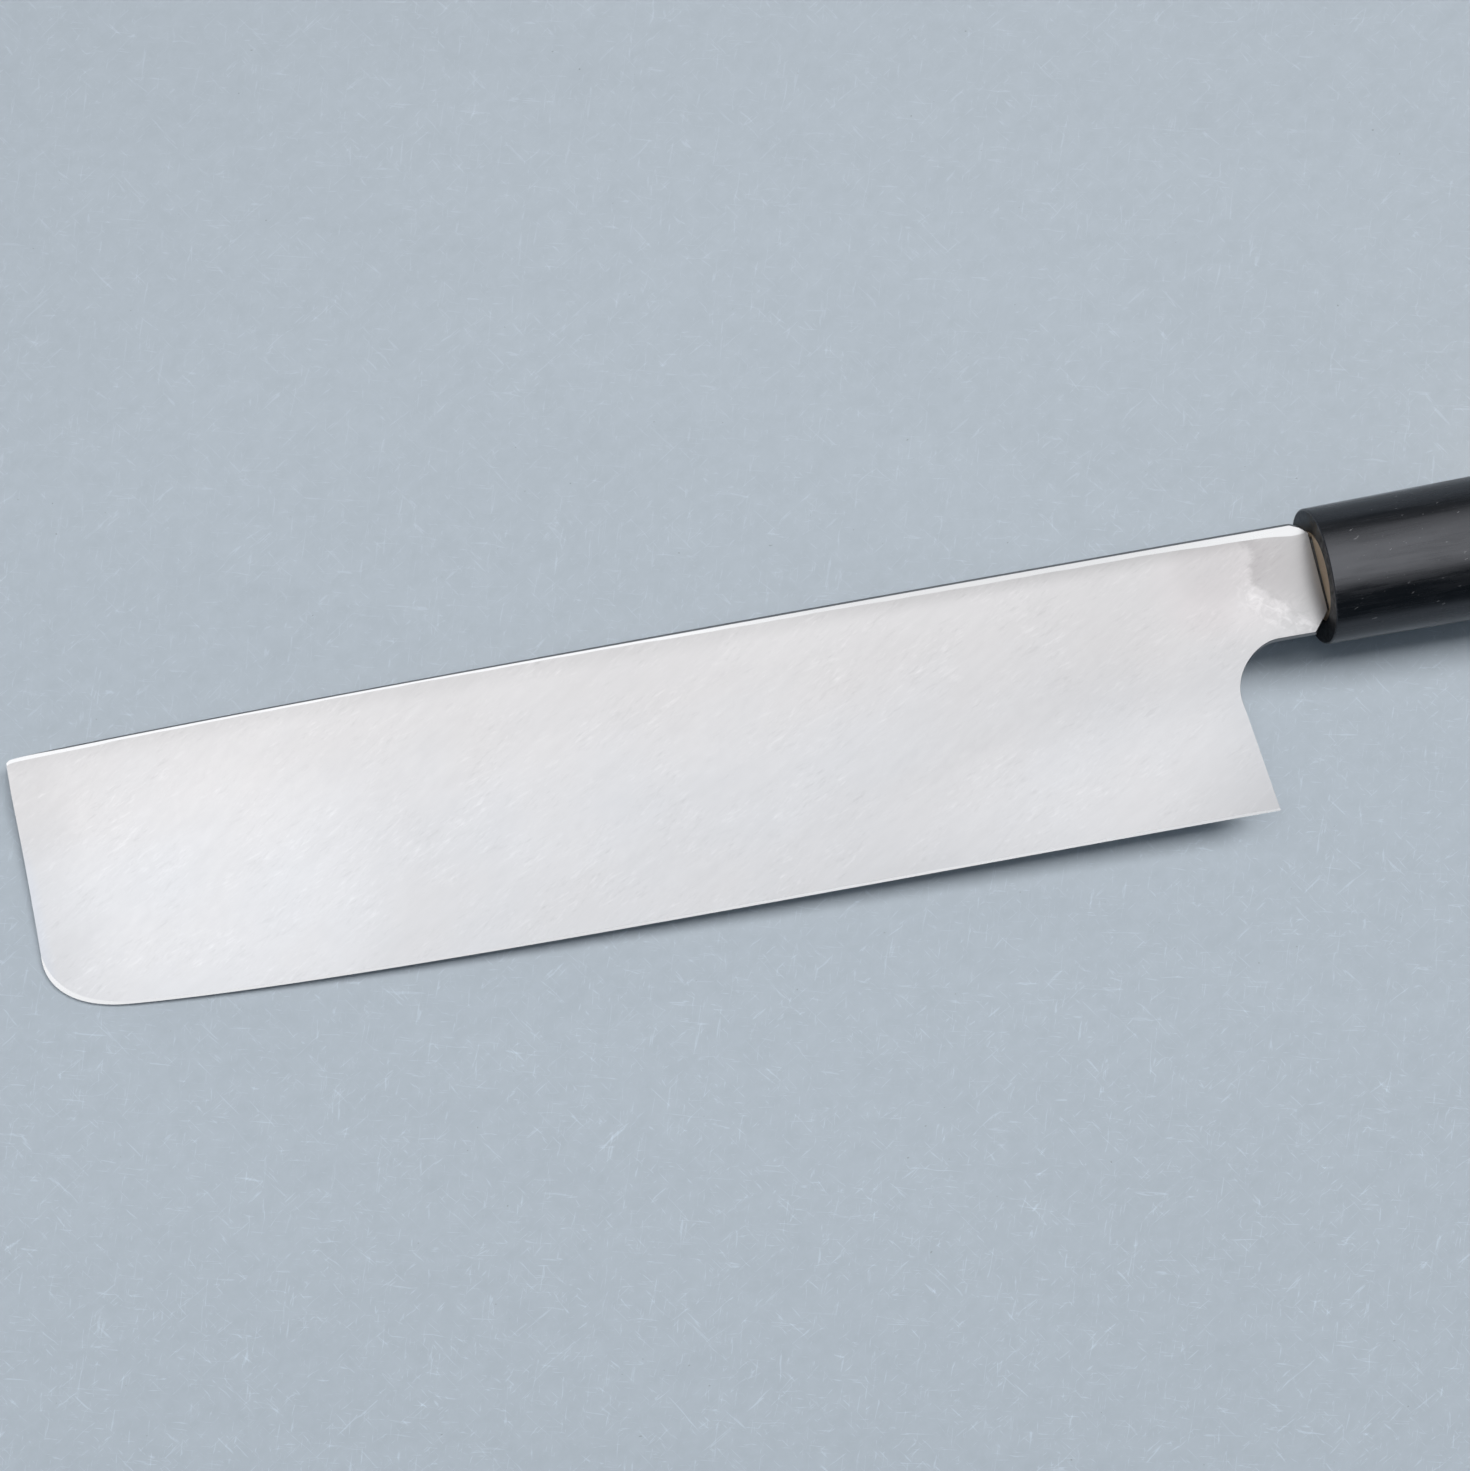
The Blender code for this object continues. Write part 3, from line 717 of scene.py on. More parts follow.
WORKED_RAMP = (0.36, 0.62, 0.15, 1.0)        # the strokes stand out more in some places
PAINTED_SHEEN_AND_SHADE = (                                    # painted highlights and painted shade: brighter and duller patches
    ((28 * MM, -17 * MM), (34 * MM, 24 * MM), 0.09),
    ((182 * MM, -26 * MM), (58 * MM, 15 * MM), 0.14),
    ((2 * MM, -8 * MM), (9 * MM, 26 * MM), -0.05),
    ((183 * MM, 4.5 * MM), (8 * MM, 7 * MM), -0.08),
    ((188.6 * MM, -3.5 * MM), (7 * MM, 6 * MM), 0.07),
    ((85 * MM, 5 * MM), (40 * MM, 12 * MM), -0.03),
)
SPINE_SHADE_Y = (5.0 * MM, 8.2 * MM)         # painted shade in a band below the spine's flat
SPINE_SHADE_X = (100 * MM, 165 * MM, 0.09, 0.23)
SPINE_SHADE_END = (186 * MM, 191 * MM, 1.0, 0.0)

# The neck behind a ragged border that is upright above a height and slants below it: a duller
# finish, with painted shade
NECK_BORDER_X = 187.0 * MM
NECK_BORDER_Y = 1.6 * MM
NECK_BORDER_SLANT = 0.88
NECK_RAGGED = Grain((4.5, 3.2, 1), 0.4, 4.0, 0.62)
NECK_RAGGED_REACH = 6.0 * MM
NECK_RAMP = (3.0 * MM, 4.3 * MM)
NECK_SHADE = (-6.0 * MM, 1.0 * MM, 0.90, 0.79)

# Flecks in a band along a slanting line on the neck
FLECK_POINT = (190.1 * MM, -3.6 * MM)
FLECK_NORMAL = (0.635, 0.773)
FLECK_BAND = (0.6 * MM, 3.2 * MM, 1.0, 0.0)
FLECK_START = (184.0 * MM, 187.5 * MM)
FLECKS = Grain((1.9, 1.4, 1), -0.9, 4.0, 0.64, 1.0)
FLECK_RAMP = (0.42, 0.64, -0.05, 0.11)

# Tints of the hollow back, as shares of its tone
COOL = (0.985, 0.990, 1.020)
WARM = (1.015, 0.991, 0.995)
# bluish tint of a painted reflection along the tip line
TIP_REFLECTION_TINT = (0.965, 0.99, 1.05)
TAN = (1.01, 0.945, 0.95)
TINT_PATCHES = Grain((17, 11, 1), 0.5, shift=(0.3, 0.1, 0))
TINT_PATCH_GAIN = 0.9
WARM_Y = (-16 * MM, 7 * MM, 0.0, 0.75)
WARM_X = (60 * MM, 190 * MM, 0.0, 0.25)
WARM_RAMP = (0.15, 1.15)
TIP_REFLECTION_X = (0.1 * MM, 2.2 * MM, 1.0, 0.0)
TIP_REFLECTION_Y = (-2 * MM, -12 * MM)
NECK_STAIN = ((184 * MM, 2.0 * MM), (13 * MM, 11 * MM))
BACK_PLAIN_ROUGHNESS = 0.38
BACK_ROUGHNESS = 0.33
BACK_ROUGH_GAIN = 0.10
FINE_RELIEF = 0.6
BACK_RELIEF = (0.0045 * MM, 0.5)             # depth and strength

# The other faces of the blade
STONE_CLOUDS = Grain((28, 14, 1), 0.0, 3.0, 0.6)
STONE_LINES = (5.5, 0.45)                    # length and width in mm
STONE_HAIRS = (9.0, 0.12)
STONE_HAIR_TURN = 0.07
STONE_CLOUD_GAIN = 0.10
STONE_LINE_GAIN = 0.16
STONE_HAIR_GAIN = 0.08
STONE_MARKS_MEAN = 0.12
STONE_ROUGH_GAIN = 0.08
STONE_COLD = (0.99, 1.0, 1.02)
STONE_WARM = (1.01, 1.0, 1.0)
STONE_HAIR_RELIEF = 0.5
STONE_RELIEF = (0.004 * MM, 0.6)
# Painted highlights on the flats at the tip's corner and along the edge, and painted shade on
# the spine's flat
PAINTED_GLINTS_AND_SHADE = (
    ((3 * MM, -28 * MM), (14 * MM, 8 * MM), 0.05),
    ((185 * MM, -33 * MM), (110 * MM, 8 * MM), 0.22),
    ((148 * MM, 8.5 * MM), (48 * MM, 8 * MM), -0.16),
)
STONED_FACES = (           # name, tone, roughness, turn, streaks, mottling and painted highlight and shade patches
    ("steel_flat", 0.455, 0.25, 0.0, 0.5, 1.4, PAINTED_GLINTS_AND_SHADE),
    # the eased edges and sides of the blade: a darker tone, as painted shade
    ("steel_spine_painted_shade", 0.27, 0.34, 0.0, 0.6, 0.6, ()),
    ("steel_front", 0.46, 0.32, math.radians(25), 0.8, 1.0, ()),
    ("steel_bevel", 0.56, 0.44, math.pi / 2, 0.8, 1.0, ()),
    ("steel_tang", 0.16, 0.55, 0.0, 0.8, 2.0, ()),
)

# Ferrule
HORN_BLACK = (0.0025, 0.0024, 0.0026)
HORN_SHEEN = (0.96, 0.98, 1.06, 1.0)
HORN_PLAIN_ROUGHNESS = 0.2
HORN_IOR = 1.62
HORN_CLOUDS = Grain((11, 2.2, 2.2), 0.0, 4.0, 0.65)
HORN_SCUFFS = Grain((14, 0.5, 0.5), 0.0, 4.0, 0.65)
HORN_SCUFF_SHARE = 0.4
HORN_ROUGHNESS = (0.35, 0.68, 0.15, 0.36)
HORN_HAIRLINES = Grain((6, 0.3, 0.3), 0.0, 3.0, 0.6)
HORN_NICKS = Grain((1.1, 0.45, 0.45), 0.3, 2.0, 0.6)
HORN_NICK_RAMP = (0.69, 0.75)
HORN_NICK_GREY = (0.10, 0.10, 0.105)
HORN_WAVE_RELIEF = (0.05 * MM, 0.25)
HORN_HAIR_RELIEF = (0.006 * MM, 0.4)
END_PLAIN = (0.008, 0.008, 0.009)
END_PLAIN_ROUGHNESS = 0.5
END_IOR = 1.32
END_BLACK = (0.007, 0.007, 0.008)
END_GRIME = Grain((1.6, 0.9, 0.9), 0.0, 3.0, 0.6)
# browner in patches towards the top
END_BROWN_TOP_Y = (4.8 * MM, 6.8 * MM)
END_BROWN_PATCH_RAMP = (0.42, 0.6)
END_BROWN = (0.065, 0.050, 0.034)
# painted reflection of the pale board on the upper rim of the sawn end
END_REFLECTION_Y = (7.0 * MM, 8.6 * MM)
END_REFLECTION_Z = (AXIS_Z + MM, AXIS_Z + 4 * MM, 1.0, 0.0)
END_REFLECTED_BOARD = (0.052, 0.062, 0.074)
END_ROUGHNESS = (0.3, 0.7, 0.40, 0.62)
END_RELIEF = (0.02 * MM, 0.6)

# Wood
WOOD_PLAIN = (0.55, 0.40, 0.25)
WOOD_PLAIN_ROUGHNESS = 0.55
WOOD_RINGS = Grain((60, 2.6, 2.6), 0.0, 3.0, 0.6, 0.6)
WOOD_RING_RAMP = (0.35, 0.7)
WOOD_PALE = (0.68, 0.50, 0.34)
WOOD_WARM = (0.58, 0.41, 0.265)
WOOD_PORES = Grain((4.5, 0.16, 0.16), 0.0, 2.0, 0.6)
WOOD_PORE_RAMP = (0.55, 0.75, 0.0, 0.35)
WOOD_PORE_BROWN = (0.30, 0.20, 0.12)
WOOD_ROUGHNESS = (0.3, 0.7, 0.5, 0.62)
WOOD_RELIEF = (0.03 * MM, 0.4)

# Board under the knife, with faint scuffs in four directions and a few dark specks
FLOOR_RADIUS = 1.6
FLOOR_SIDES = 96
FLOOR_COLOUR = (0.437, 0.498, 0.560)
FLOOR_ROUGHNESS = 0.55
FLOOR_LEVEL = 0.878
FLOOR_CLOUDS = Grain((60, 45, 1), 0.0, 3.0)
FLOOR_CLOUD_GAIN = 0.06
FLOOR_MOTTLE = Grain((3.2, 2.4, 1), 0.4, 4.0, 0.65)
FLOOR_MOTTLE_GAIN = 0.17
# painted shade: the board darker towards the far side
FLOOR_FAR_SHADE = (-60 * MM, 118 * MM, 1.0, 0.92)
SCUFFS = Grain((4.4, 0.5, 1), 0.0, 2.0, 0.55, 1.3)
SCUFF_TURNS = ((0.55, 0.1), (-0.25, 0.3), (1.25, 0.5), (-0.95, 0.7))    # and their shifts
SCUFF_RAMP = (0.62, 0.75)
SCUFF_GAIN = (-90 * MM, 40 * MM, 0.20, 0.11)
SPECKS = Grain((0.9, 0.7, 1), 0.0, 1.0, shift=(0.9, 0, 0))
SPECK_RAMP = (0.80, 0.84)
SPECK_GAIN = -0.3

# Room
CEILING_COLOUR = (0.046, 0.07, 0.094)
WALL_RISE = (0.12, 0.4)              # sines of the heights where the pale walls fade out

# Camera straight above the board, and the light in the camera's directions
CAMERA_PLACE = (-56.306 * MM, 3.038 * MM, 235.0 * MM)
CAMERA_TURN = math.radians(-10.2)
SENSOR_WIDTH = 36.0                  # in mm
FOCAL_PIXELS = 1542.24
PHOTO_PIXELS = 1470
CAMERA_NEAR = 0.01
PANEL_HEIGHT = 1.5
PANEL_STEP = 0.01
LIGHT_TURN = math.radians(18)
PANELS = (                           # left, right, lower and upper reach, then radiance
    ((-2.2, 1.3, -0.46, 4.0), 0.20),
    ((-1.7, 1.0, -0.40, 1.0), 0.64),
    ((-1.4, 0.8, -0.35, 0.8), 0.40),
    ((-1.2, 0.65, -0.30, 0.55), 0.40),
    ((-1.0, 0.55, -0.24, 0.4), 0.35),
    ((-0.9, 0.45, -0.18, 0.25), 0.30),
)

# Key light: far windows to the right of and beyond the knife, which cast the shadows
KEY_HEIGHT = 4.0
KEY_STEP = 0.05
KEY_COLOUR = (1.0, 0.972, 0.943)
KEYS = (
    ((-0.65, 1.5, 0.22, 0.74), 2.75),
    ((0.35, 1.18, 0.22, 0.72), 11.2),
)


def opaque(colour):
    return (*colour, 1.0)


def by_identifier(sockets):
    return {socket.identifier: socket for socket in sockets}


class Recipe:
    """A material whose nodes read the knife's own coordinates, in metres.

    Its plain colour and roughness give way to the nodes that drive them.
    """

    def __init__(self, name, colour, roughness, metallic, **sockets):
        self.material = bpy.data.materials.new(name)
        self.material.use_nodes = True
        self.tree = self.material.node_tree
        self.shader = self.tree.nodes["Principled BSDF"]
        sockets.update(Base_Color=opaque(colour), Roughness=roughness, Metallic=metallic)
        for socket, value in sockets.items():
            self.shader.inputs[socket.replace("_", " ")].default_value = value
        world = self.tree.nodes.new("ShaderNodeTexCoord").outputs["Object"]
        self.coordinates = self.mapped(world, KNIFE_ORIGIN, REST_TURN)
        axes = self.tree.nodes.new("ShaderNodeSeparateXYZ")
        self.put(self.coordinates, axes.inputs[0])
        self.x, self.y, self.z = axes.outputs

    def put(self, value, socket):
        """Joins an output to a socket, or writes a plain value into it."""
        if isinstance(value, bpy.types.NodeSocket):
            self.tree.links.new(value, socket)
        elif value is not None:
            socket.default_value = value

    def drive(self, name, value):
        self.put(value, self.shader.inputs[name])

    def mapped(self, vector, place, turn, size=(1, 1, 1)):
        """Coordinates in a frame that is moved, turned and scaled as given."""
        node = self.tree.nodes.new("ShaderNodeMapping")
        node.vector_type = "TEXTURE"
        self.put(vector, node.inputs["Vector"])
        self.put(place, node.inputs["Location"])
        self.put(turn, node.inputs["Rotation"])
        self.put(size, node.inputs["Scale"])
        return node.outputs["Vector"]

    def grain(self, pattern):
        """Noise of a pattern, from 0 to 1."""
        size = [length * MM for length in pattern.size]
        place = self.mapped(self.coordinates, pattern.shift, (0, 0, pattern.turn), size)
        node = self.tree.nodes.new("ShaderNodeTexNoise")
        self.put(place, node.inputs["Vector"])
        self.put(1.0, node.inputs["Scale"])
        self.put(pattern.detail, node.inputs["Detail"])
        self.put(pattern.roughness, node.inputs["Roughness"])
        self.put(pattern.distortion, node.inputs["Distortion"])
        return node.outputs["Fac"]

    def ramp(self, value, low, high, to_low=0.0, to_high=1.0, smooth=True):
        node = self.tree.nodes.new("ShaderNodeMapRange")
        node.interpolation_type = "SMOOTHSTEP" if smooth else "LINEAR"
        self.put(value, node.inputs["Value"])
        self.put(low, node.inputs["From Min"])
        self.put(high, node.inputs["From Max"])
        self.put(to_low, node.inputs["To Min"])
        self.put(to_high, node.inputs["To Max"])
        return node.outputs["Result"]

    def calc(self, operation, *values):
        node = self.tree.nodes.new("ShaderNodeMath")
        node.operation = operation
        for value, socket in zip(values, node.inputs):
            self.put(value, socket)
        return node.outputs["Value"]

    def times(self, a, b):
        return self.calc("MULTIPLY", a, b)

    def plus(self, value, more, gain=1.0):
        """A value with some more of another, times its gain."""
        return self.calc("MULTIPLY_ADD", more, gain, value)

    def patch(self, middle, size):
        """Soft oval patch on the blade: 1 in its middle and 0 at its rim."""
        across = self.plus(-middle[0] / size[0], self.x, 1 / size[0])
        up = self.plus(-middle[1] / size[1], self.y, 1 / size[1])
        return self.ramp(self.plus(self.times(across, across), up, up), 0.0, 1.0, 1.0, 0.0)

    def patched(self, value, patches):
        for middle, size, gain in patches:
            value = self.plus(value, self.patch(middle, size), gain)
        return value

    def mix(self, factor, a, b, kind="Color"):
        """Blend of two colours or, with the kind Float, of two numbers."""
        node = self.tree.nodes.new("ShaderNodeMix")
        node.data_type = "FLOAT" if kind == "Float" else "RGBA"
        inputs = by_identifier(node.inputs)
        self.put(factor, inputs["Factor_Float"])
        for name, value in (("A_", a), ("B_", b)):
            value = opaque(value) if isinstance(value, tuple) else value
            self.put(value, inputs[name + kind])
        return by_identifier(node.outputs)["Result_" + kind]

    def scaled(self, colour, value):
        node = self.tree.nodes.new("ShaderNodeVectorMath")
        node.operation = "SCALE"
        self.put(colour, node.inputs[0])
        self.put(value, node.inputs["Scale"])
        return node.outputs["Vector"]

    def relief(self, height, distance, strength, normal=None):
        node = self.tree.nodes.new("ShaderNodeBump")
        self.put(strength, node.inputs["Strength"])
        self.put(distance, node.inputs["Distance"])
        self.put(height, node.inputs["Height"])
        self.put(normal, node.inputs["Normal"])
        return node.outputs["Normal"]


def grey(tone):
    return (tone, tone, tone)


def tinted(tone, tint):
    return tuple(tone * share for share in tint)


def stroke_marks(steel, steep, shallow, fine):
    """Bright nicks and dark dents of the strokes, evened out round zero."""
    nicks, dents = [
        steel.plus(steel.ramp(steep, *ramps[0]), steel.ramp(shallow, *ramps[1]))
        for ramps in (NICK_RAMPS, DENT_RAMPS)
    ]
    marks = steel.plus(steel.times(nicks, NICK_GAIN), dents, DENT_GAIN)
    return steel.plus(steel.calc("SUBTRACT", marks, MARKS_MEAN), fine, FINE_GAIN)


def painted_spine_shade(steel):
    """Painted shade just below the spine's flat, as the share of colour that the back loses
    there.
    """
    share = steel.times(steel.ramp(steel.y, *SPINE_SHADE_Y), steel.ramp(steel.x, *SPINE_SHADE_X))
    return steel.times(share, steel.ramp(steel.x, *SPINE_SHADE_END))


def neck_shade(steel):
    """Share of its colour that the neck keeps behind the ragged border: a duller finish with
    painted shade.
    """
    below = steel.calc("MAXIMUM", steel.plus(NECK_BORDER_Y, steel.y, -1.0), 0.0)
    border_x = steel.plus(NECK_BORDER_X, below, NECK_BORDER_SLANT)
    past = steel.calc("SUBTRACT", steel.x, border_x)
    past = steel.plus(past, steel.grain(NECK_RAGGED), NECK_RAGGED_REACH)
    shade = steel.ramp(steel.y, *NECK_SHADE)
    return steel.mix(steel.ramp(past, *NECK_RAMP), 1.0, shade, "Float")


def fleck_band(steel):
    """Band on both sides of the flecks' line: 1 in its middle and 0 outside."""
    across = steel.plus(-FLECK_POINT[0] * FLECK_NORMAL[0], steel.x, FLECK_NORMAL[0])
    across = steel.plus(across, steel.y, FLECK_NORMAL[1])
    across = steel.calc("ADD", across, -FLECK_POINT[1] * FLECK_NORMAL[1])
    band = steel.ramp(steel.calc("ABSOLUTE", across), *FLECK_BAND)
    return steel.times(band, steel.ramp(steel.x, *FLECK_START))


def back_tint(steel):
    """Warmer towards the spine and the neck, with a painted bluish reflection along the tip and
    a tan stain at the neck.
    """
    patches = steel.grain(TINT_PATCHES)
    warmth = steel.plus(steel.ramp(steel.y, *WARM_Y), patches, TINT_PATCH_GAIN)
    warmth = steel.plus(warmth, steel.ramp(steel.x, *WARM_X))
    cool, warm, tip_reflection, tan = [tinted(BACK_TONE, tint) for tint in (COOL, WARM, TIP_REFLECTION_TINT, TAN)]
    tint = steel.mix(steel.ramp(warmth, *WARM_RAMP, smooth=False), cool, warm)
    # painted bluish reflection along the tip line
    at_tip = steel.times(steel.ramp(steel.x, *TIP_REFLECTION_X), steel.ramp(steel.y, *TIP_REFLECTION_Y))
    tint = steel.mix(at_tip, tint, tip_reflection)
    return steel.mix(steel.times(steel.patch(*NECK_STAIN), patches), tint, tan)


def ground_face():
    """Hollow back: patches of short uneven strokes, cloudy tints, painted highlights and painted
    shade, and a duller neck.
    """
    steel = Recipe("steel_hollow", grey(BACK_TONE), BACK_PLAIN_ROUGHNESS, 1.0)
    steep = steel.grain(STEEP_STROKES)
    shallow = steel.grain(SHALLOW_STROKES)
    fine = steel.grain(FINE_STROKES)
    value = steel.plus(BACK_LEVEL, steel.grain(BACK_CLOUDS), BACK_CLOUD_GAIN)
    value = steel.plus(value, steel.grain(BROAD_STROKES), BROAD_GAIN)
    worked = steel.ramp(steel.grain(WORKED), *WORKED_RAMP)
    value = steel.plus(value, stroke_marks(steel, steep, shallow, fine), worked)
    # painted highlights and painted shade on the hollow back
    value = steel.patched(value, PAINTED_SHEEN_AND_SHADE)
    # painted shade below the spine's flat
    value = steel.plus(value, value, steel.times(painted_spine_shade(steel), -1.0))
    # duller finish with painted shade on the neck
    value = steel.times(value, neck_shade(steel))
    flecks = steel.ramp(steel.grain(FLECKS), *FLECK_RAMP)
    value = steel.plus(value, fleck_band(steel), flecks)
    steel.drive("Base Color", steel.scaled(back_tint(steel), value))
    steel.drive("Roughness", steel.plus(BACK_ROUGHNESS, steep, BACK_ROUGH_GAIN))
    height = steel.plus(steel.plus(steep, shallow), fine, FINE_RELIEF)
    steel.drive("Normal", steel.relief(height, *BACK_RELIEF))
    return steel.material


def stoned_face(name, tone, roughness, turn, streak, mottle, painted_light):
    """Plain face of the blade: fine strokes of the stone over a faintly cloudy sheen, with any
    patches of painted highlight and shade.
    """
    steel = Recipe(name, grey(tone), roughness, 1.0)
    clouds = steel.grain(STONE_CLOUDS._replace(turn=turn))
    lines = steel.grain(stroke_grain(*STONE_LINES, turn))
    hairs = steel.grain(stroke_grain(*STONE_HAIRS, turn + STONE_HAIR_TURN))
    gain = STONE_CLOUD_GAIN * mottle
    value = steel.plus(1.0 - gain / 2, clouds, gain)
    value = steel.plus(value, lines, STONE_LINE_GAIN * streak)
    value = steel.plus(value, hairs, STONE_HAIR_GAIN * streak)
    value = steel.calc("SUBTRACT", value, STONE_MARKS_MEAN * streak)
    # patches of painted highlight and shade
    value = steel.patched(value, painted_light)
    tint = steel.mix(clouds, tinted(tone, STONE_COLD), tinted(tone, STONE_WARM))
    steel.drive("Base Color", steel.scaled(tint, value))
    gain = STONE_ROUGH_GAIN * mottle
    rough = steel.plus(roughness - gain / 2, clouds, gain)
    steel.drive("Roughness", steel.plus(rough, lines, STONE_ROUGH_GAIN * streak))
    depth, strength = STONE_RELIEF
    height = steel.plus(lines, hairs, STONE_HAIR_RELIEF)
    steel.drive("Normal", steel.relief(height, depth, strength * streak))
    return steel.material


def horn_material():
    """Polished black horn with the scuffs and hairlines of use."""
    horn = Recipe("black_horn", HORN_BLACK, HORN_PLAIN_ROUGHNESS, 0.0, IOR=HORN_IOR,
                  Specular_Tint=HORN_SHEEN)
    clouds = horn.grain(HORN_CLOUDS)
    patchy = horn.times(horn.grain(HORN_SCUFFS), HORN_SCUFF_SHARE)
    patchy = horn.plus(patchy, clouds, 1 - HORN_SCUFF_SHARE)
    horn.drive("Roughness", horn.ramp(patchy, *HORN_ROUGHNESS))
    nicks = horn.ramp(horn.grain(HORN_NICKS), *HORN_NICK_RAMP)
    horn.drive("Base Color", horn.mix(nicks, HORN_BLACK, HORN_NICK_GREY))
    waves = horn.relief(clouds, *HORN_WAVE_RELIEF)
    hairlines = horn.grain(HORN_HAIRLINES)
    horn.drive("Normal", horn.relief(hairlines, *HORN_HAIR_RELIEF, waves))
    return horn.material


def horn_end_material():
    """Duller horn of the ferrule's sawn end: black, browner in patches towards the top, and with
    a painted reflection of the pale board at its upper rim.
    """
    horn = Recipe("black_horn_end", END_PLAIN, END_PLAIN_ROUGHNESS, 0.0, IOR=END_IOR)
    grime = horn.grain(END_GRIME)
    patchy = horn.times(horn.ramp(horn.y, *END_BROWN_TOP_Y), horn.ramp(grime, *END_BROWN_PATCH_RAMP))
    # painted reflection of the pale board at the upper rim
    board_reflection = horn.times(horn.ramp(horn.y, *END_REFLECTION_Y), horn.ramp(horn.z, *END_REFLECTION_Z))
    colour = horn.mix(patchy, END_BLACK, END_BROWN)
    horn.drive("Base Color", horn.mix(board_reflection, colour, END_REFLECTED_BOARD))
    horn.drive("Roughness", horn.ramp(grime, *END_ROUGHNESS))
    horn.drive("Normal", horn.relief(grime, *END_RELIEF))
    return horn.material


def wood_material():
    """Bare sanded wood with long faint rings and fine pores."""
    wood = Recipe("magnolia_wood", WOOD_PLAIN, WOOD_PLAIN_ROUGHNESS, 0.0)
    rings = wood.ramp(wood.grain(WOOD_RINGS), *WOOD_RING_RAMP)
    pores = wood.grain(WOOD_PORES)
    colour = wood.mix(rings, WOOD_PALE, WOOD_WARM)
    dark = wood.ramp(pores, *WOOD_PORE_RAMP)
    wood.drive("Base Color", wood.mix(dark, colour, WOOD_PORE_BROWN))
    wood.drive("Roughness", wood.ramp(pores, *WOOD_ROUGHNESS))
    wood.drive("Normal", wood.relief(pores, *WOOD_RELIEF))
    return wood.material


def board_material():
    """Matt pale board, painted a little darker at the far side as shade, and more scuffed at the
    near side.
    """
    board = Recipe("floor_board", FLOOR_COLOUR, FLOOR_ROUGHNESS, 0.0)
    value = board.plus(FLOOR_LEVEL, board.grain(FLOOR_CLOUDS), FLOOR_CLOUD_GAIN)
    value = board.plus(value, board.grain(FLOOR_MOTTLE), FLOOR_MOTTLE_GAIN)
    # painted shade towards the far side
    value = board.times(value, board.ramp(board.y, *FLOOR_FAR_SHADE, smooth=False))
    gain = board.ramp(board.y, *SCUFF_GAIN, smooth=False)
    for turn, shift in SCUFF_TURNS:
        scuffs = board.grain(SCUFFS._replace(turn=turn, shift=(shift, 0, 0)))
        value = board.plus(value, board.ramp(scuffs, *SCUFF_RAMP), gain)
    specks = board.ramp(board.grain(SPECKS), *SPECK_RAMP)
    value = board.plus(value, specks, SPECK_GAIN)
    board.drive("Base Color", board.scaled(FLOOR_COLOUR, value))
    return board.material


def make_floor():
    mesh = bmesh.new()
    bmesh.ops.create_circle(mesh, cap_ends=True, radius=FLOOR_RADIUS, segments=FLOOR_SIDES)
    data = bpy.data.meshes.new("floor")
    mesh.to_mesh(data)
    mesh.free()
    data.materials.append(board_material())
    floor = bpy.data.objects.new("floor", data)
    bpy.context.collection.objects.link(floor)


def make_panel(name, reach, radiance, height, place=(0, 0), turn=0.0):
    """Overhead panel whose reach is given as tangents of the angles from the vertical."""
    left, right, lower, upper = [edge * height for edge in reach]
    light = bpy.data.lights.new(name, "AREA")
    light.shape = "RECTANGLE"
    light.size = right - left
    light.size_y = upper - lower
    light.energy = radiance * math.pi * light.size * light.size_y
    lamp = bpy.data.objects.new(name, light)
    middle = Matrix.Translation(((left + right) / 2, (lower + upper) / 2, height))
    turned = Matrix.Rotation(turn, 4, "Z") @ middle
    lamp.matrix_world = Matrix.Translation((*place, 0)) @ turned
    bpy.context.collection.objects.link(lamp)
    return lamp


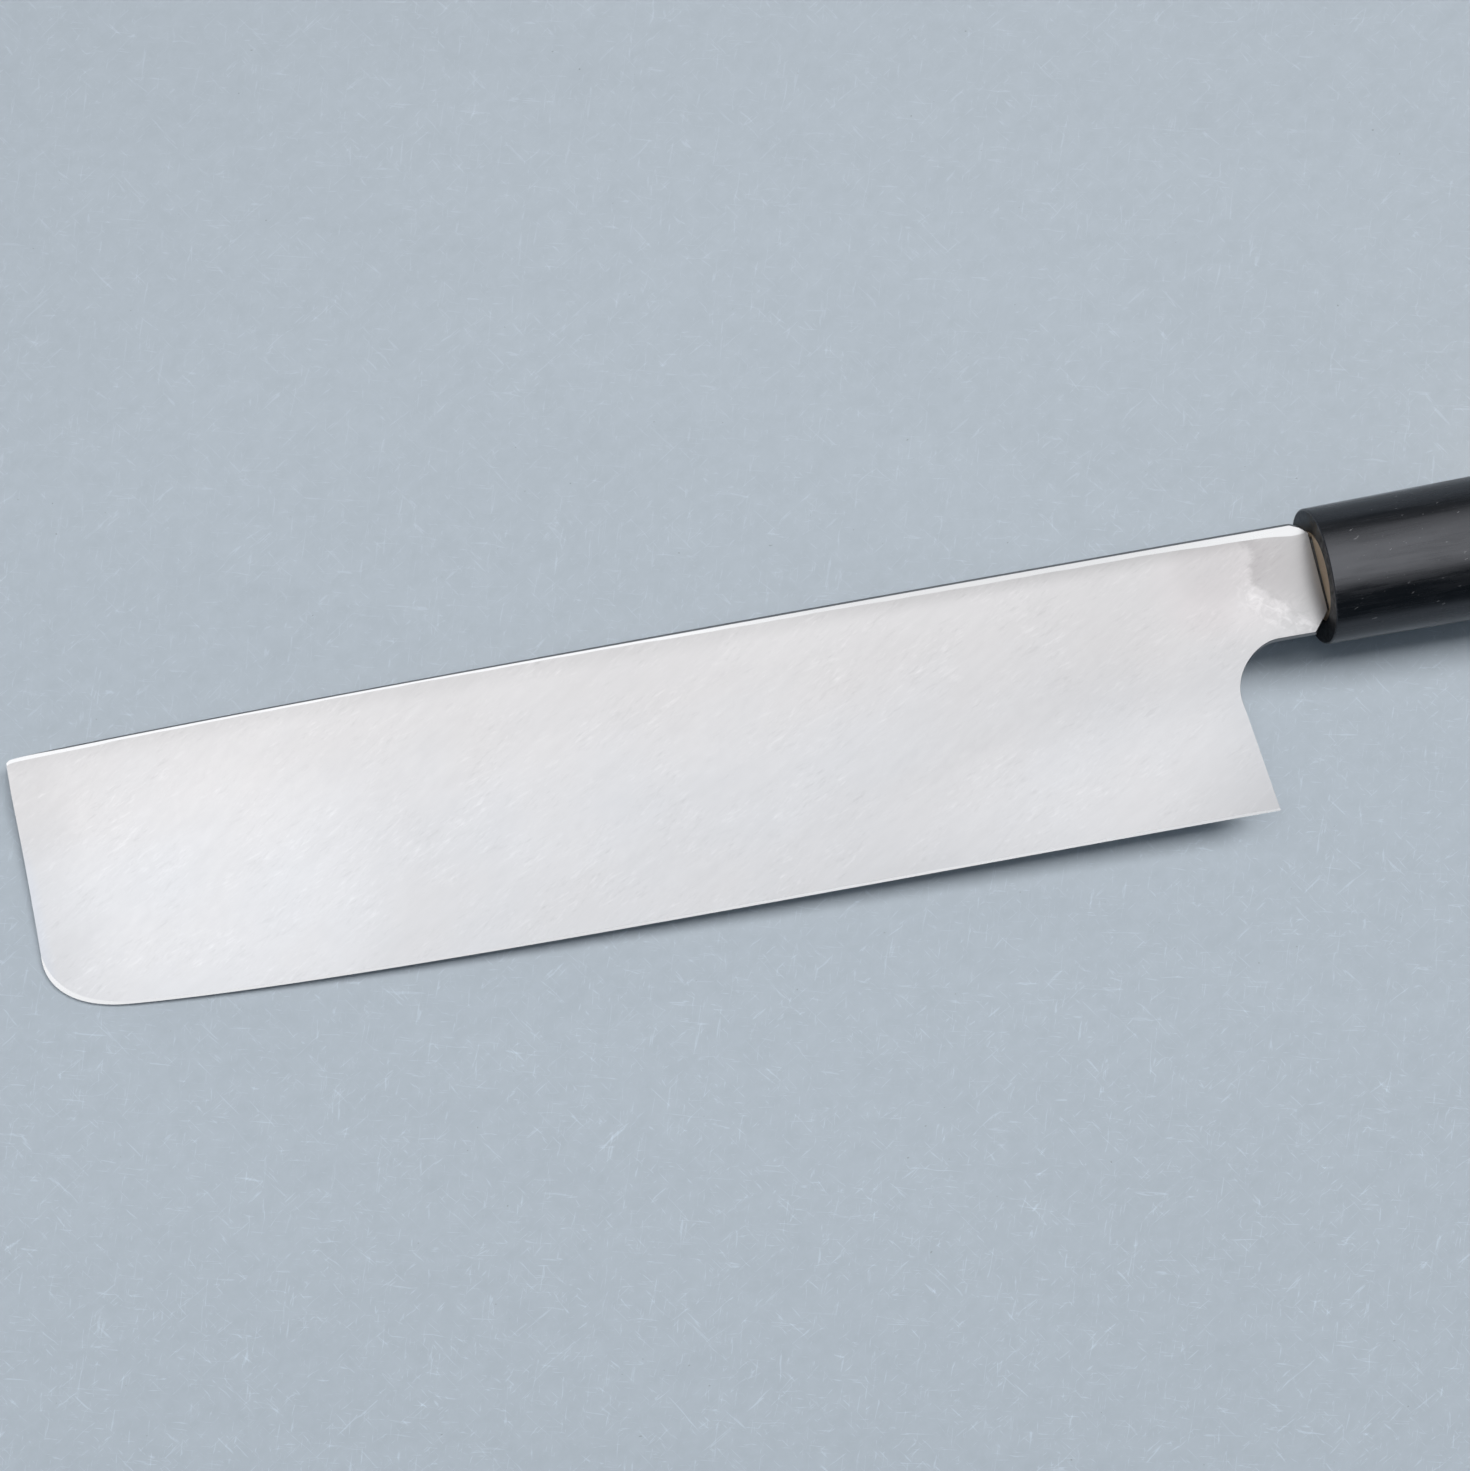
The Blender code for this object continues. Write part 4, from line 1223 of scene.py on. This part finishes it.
def make_lights():
    """Key lights for the shadows, and nested panels that only the gloss sees."""
    for i, (reach, radiance) in enumerate(KEYS):
        key = make_panel(f"key_{i}", reach, radiance, KEY_HEIGHT + i * KEY_STEP)
        key.data.color = KEY_COLOUR
        key.visible_glossy = False
    turn = CAMERA_TURN + LIGHT_TURN
    for i, (reach, radiance) in enumerate(PANELS):
        height = PANEL_HEIGHT + i * PANEL_STEP
        panel = make_panel(f"panel_{i}", reach, radiance, height, CAMERA_PLACE[:2], turn)
        panel.visible_diffuse = False


def make_world():
    """Pale walls all round under a dim ceiling."""
    world = bpy.data.worlds.new("studio")
    bpy.context.scene.world = world
    world.use_nodes = True
    tree = world.node_tree
    direction = tree.nodes.new("ShaderNodeTexCoord").outputs["Generated"]
    parts = tree.nodes.new("ShaderNodeSeparateXYZ")
    rise = tree.nodes.new("ShaderNodeMapRange")
    rise.interpolation_type = "SMOOTHSTEP"
    rise.inputs["From Min"].default_value, rise.inputs["From Max"].default_value = WALL_RISE
    shown = tree.nodes.new("ShaderNodeMix")
    shown.data_type = "RGBA"
    inputs = by_identifier(shown.inputs)
    inputs["A_Color"].default_value = opaque(FLOOR_COLOUR)
    inputs["B_Color"].default_value = opaque(CEILING_COLOUR)
    tree.links.new(direction, parts.inputs[0])
    tree.links.new(parts.outputs["Z"], rise.inputs["Value"])
    tree.links.new(rise.outputs["Result"], inputs["Factor_Float"])
    result = by_identifier(shown.outputs)["Result_Color"]
    tree.links.new(result, tree.nodes["Background"].inputs["Color"])


def make_camera():
    lens = bpy.data.cameras.new("camera")
    lens.sensor_width = SENSOR_WIDTH
    lens.lens = SENSOR_WIDTH * FOCAL_PIXELS / PHOTO_PIXELS
    lens.clip_start = CAMERA_NEAR
    camera = bpy.data.objects.new("camera", lens)
    camera.location = CAMERA_PLACE
    camera.rotation_euler = (0, 0, CAMERA_TURN)
    bpy.context.collection.objects.link(camera)
    bpy.context.scene.camera = camera


make_blade([ground_face()] + [stoned_face(*face) for face in STONED_FACES])
make_ferrule([horn_material(), horn_end_material()])
make_handle_wood(wood_material())
make_floor()
make_world()
make_lights()
make_camera()
bpy.context.scene.view_settings.view_transform = "Standard"
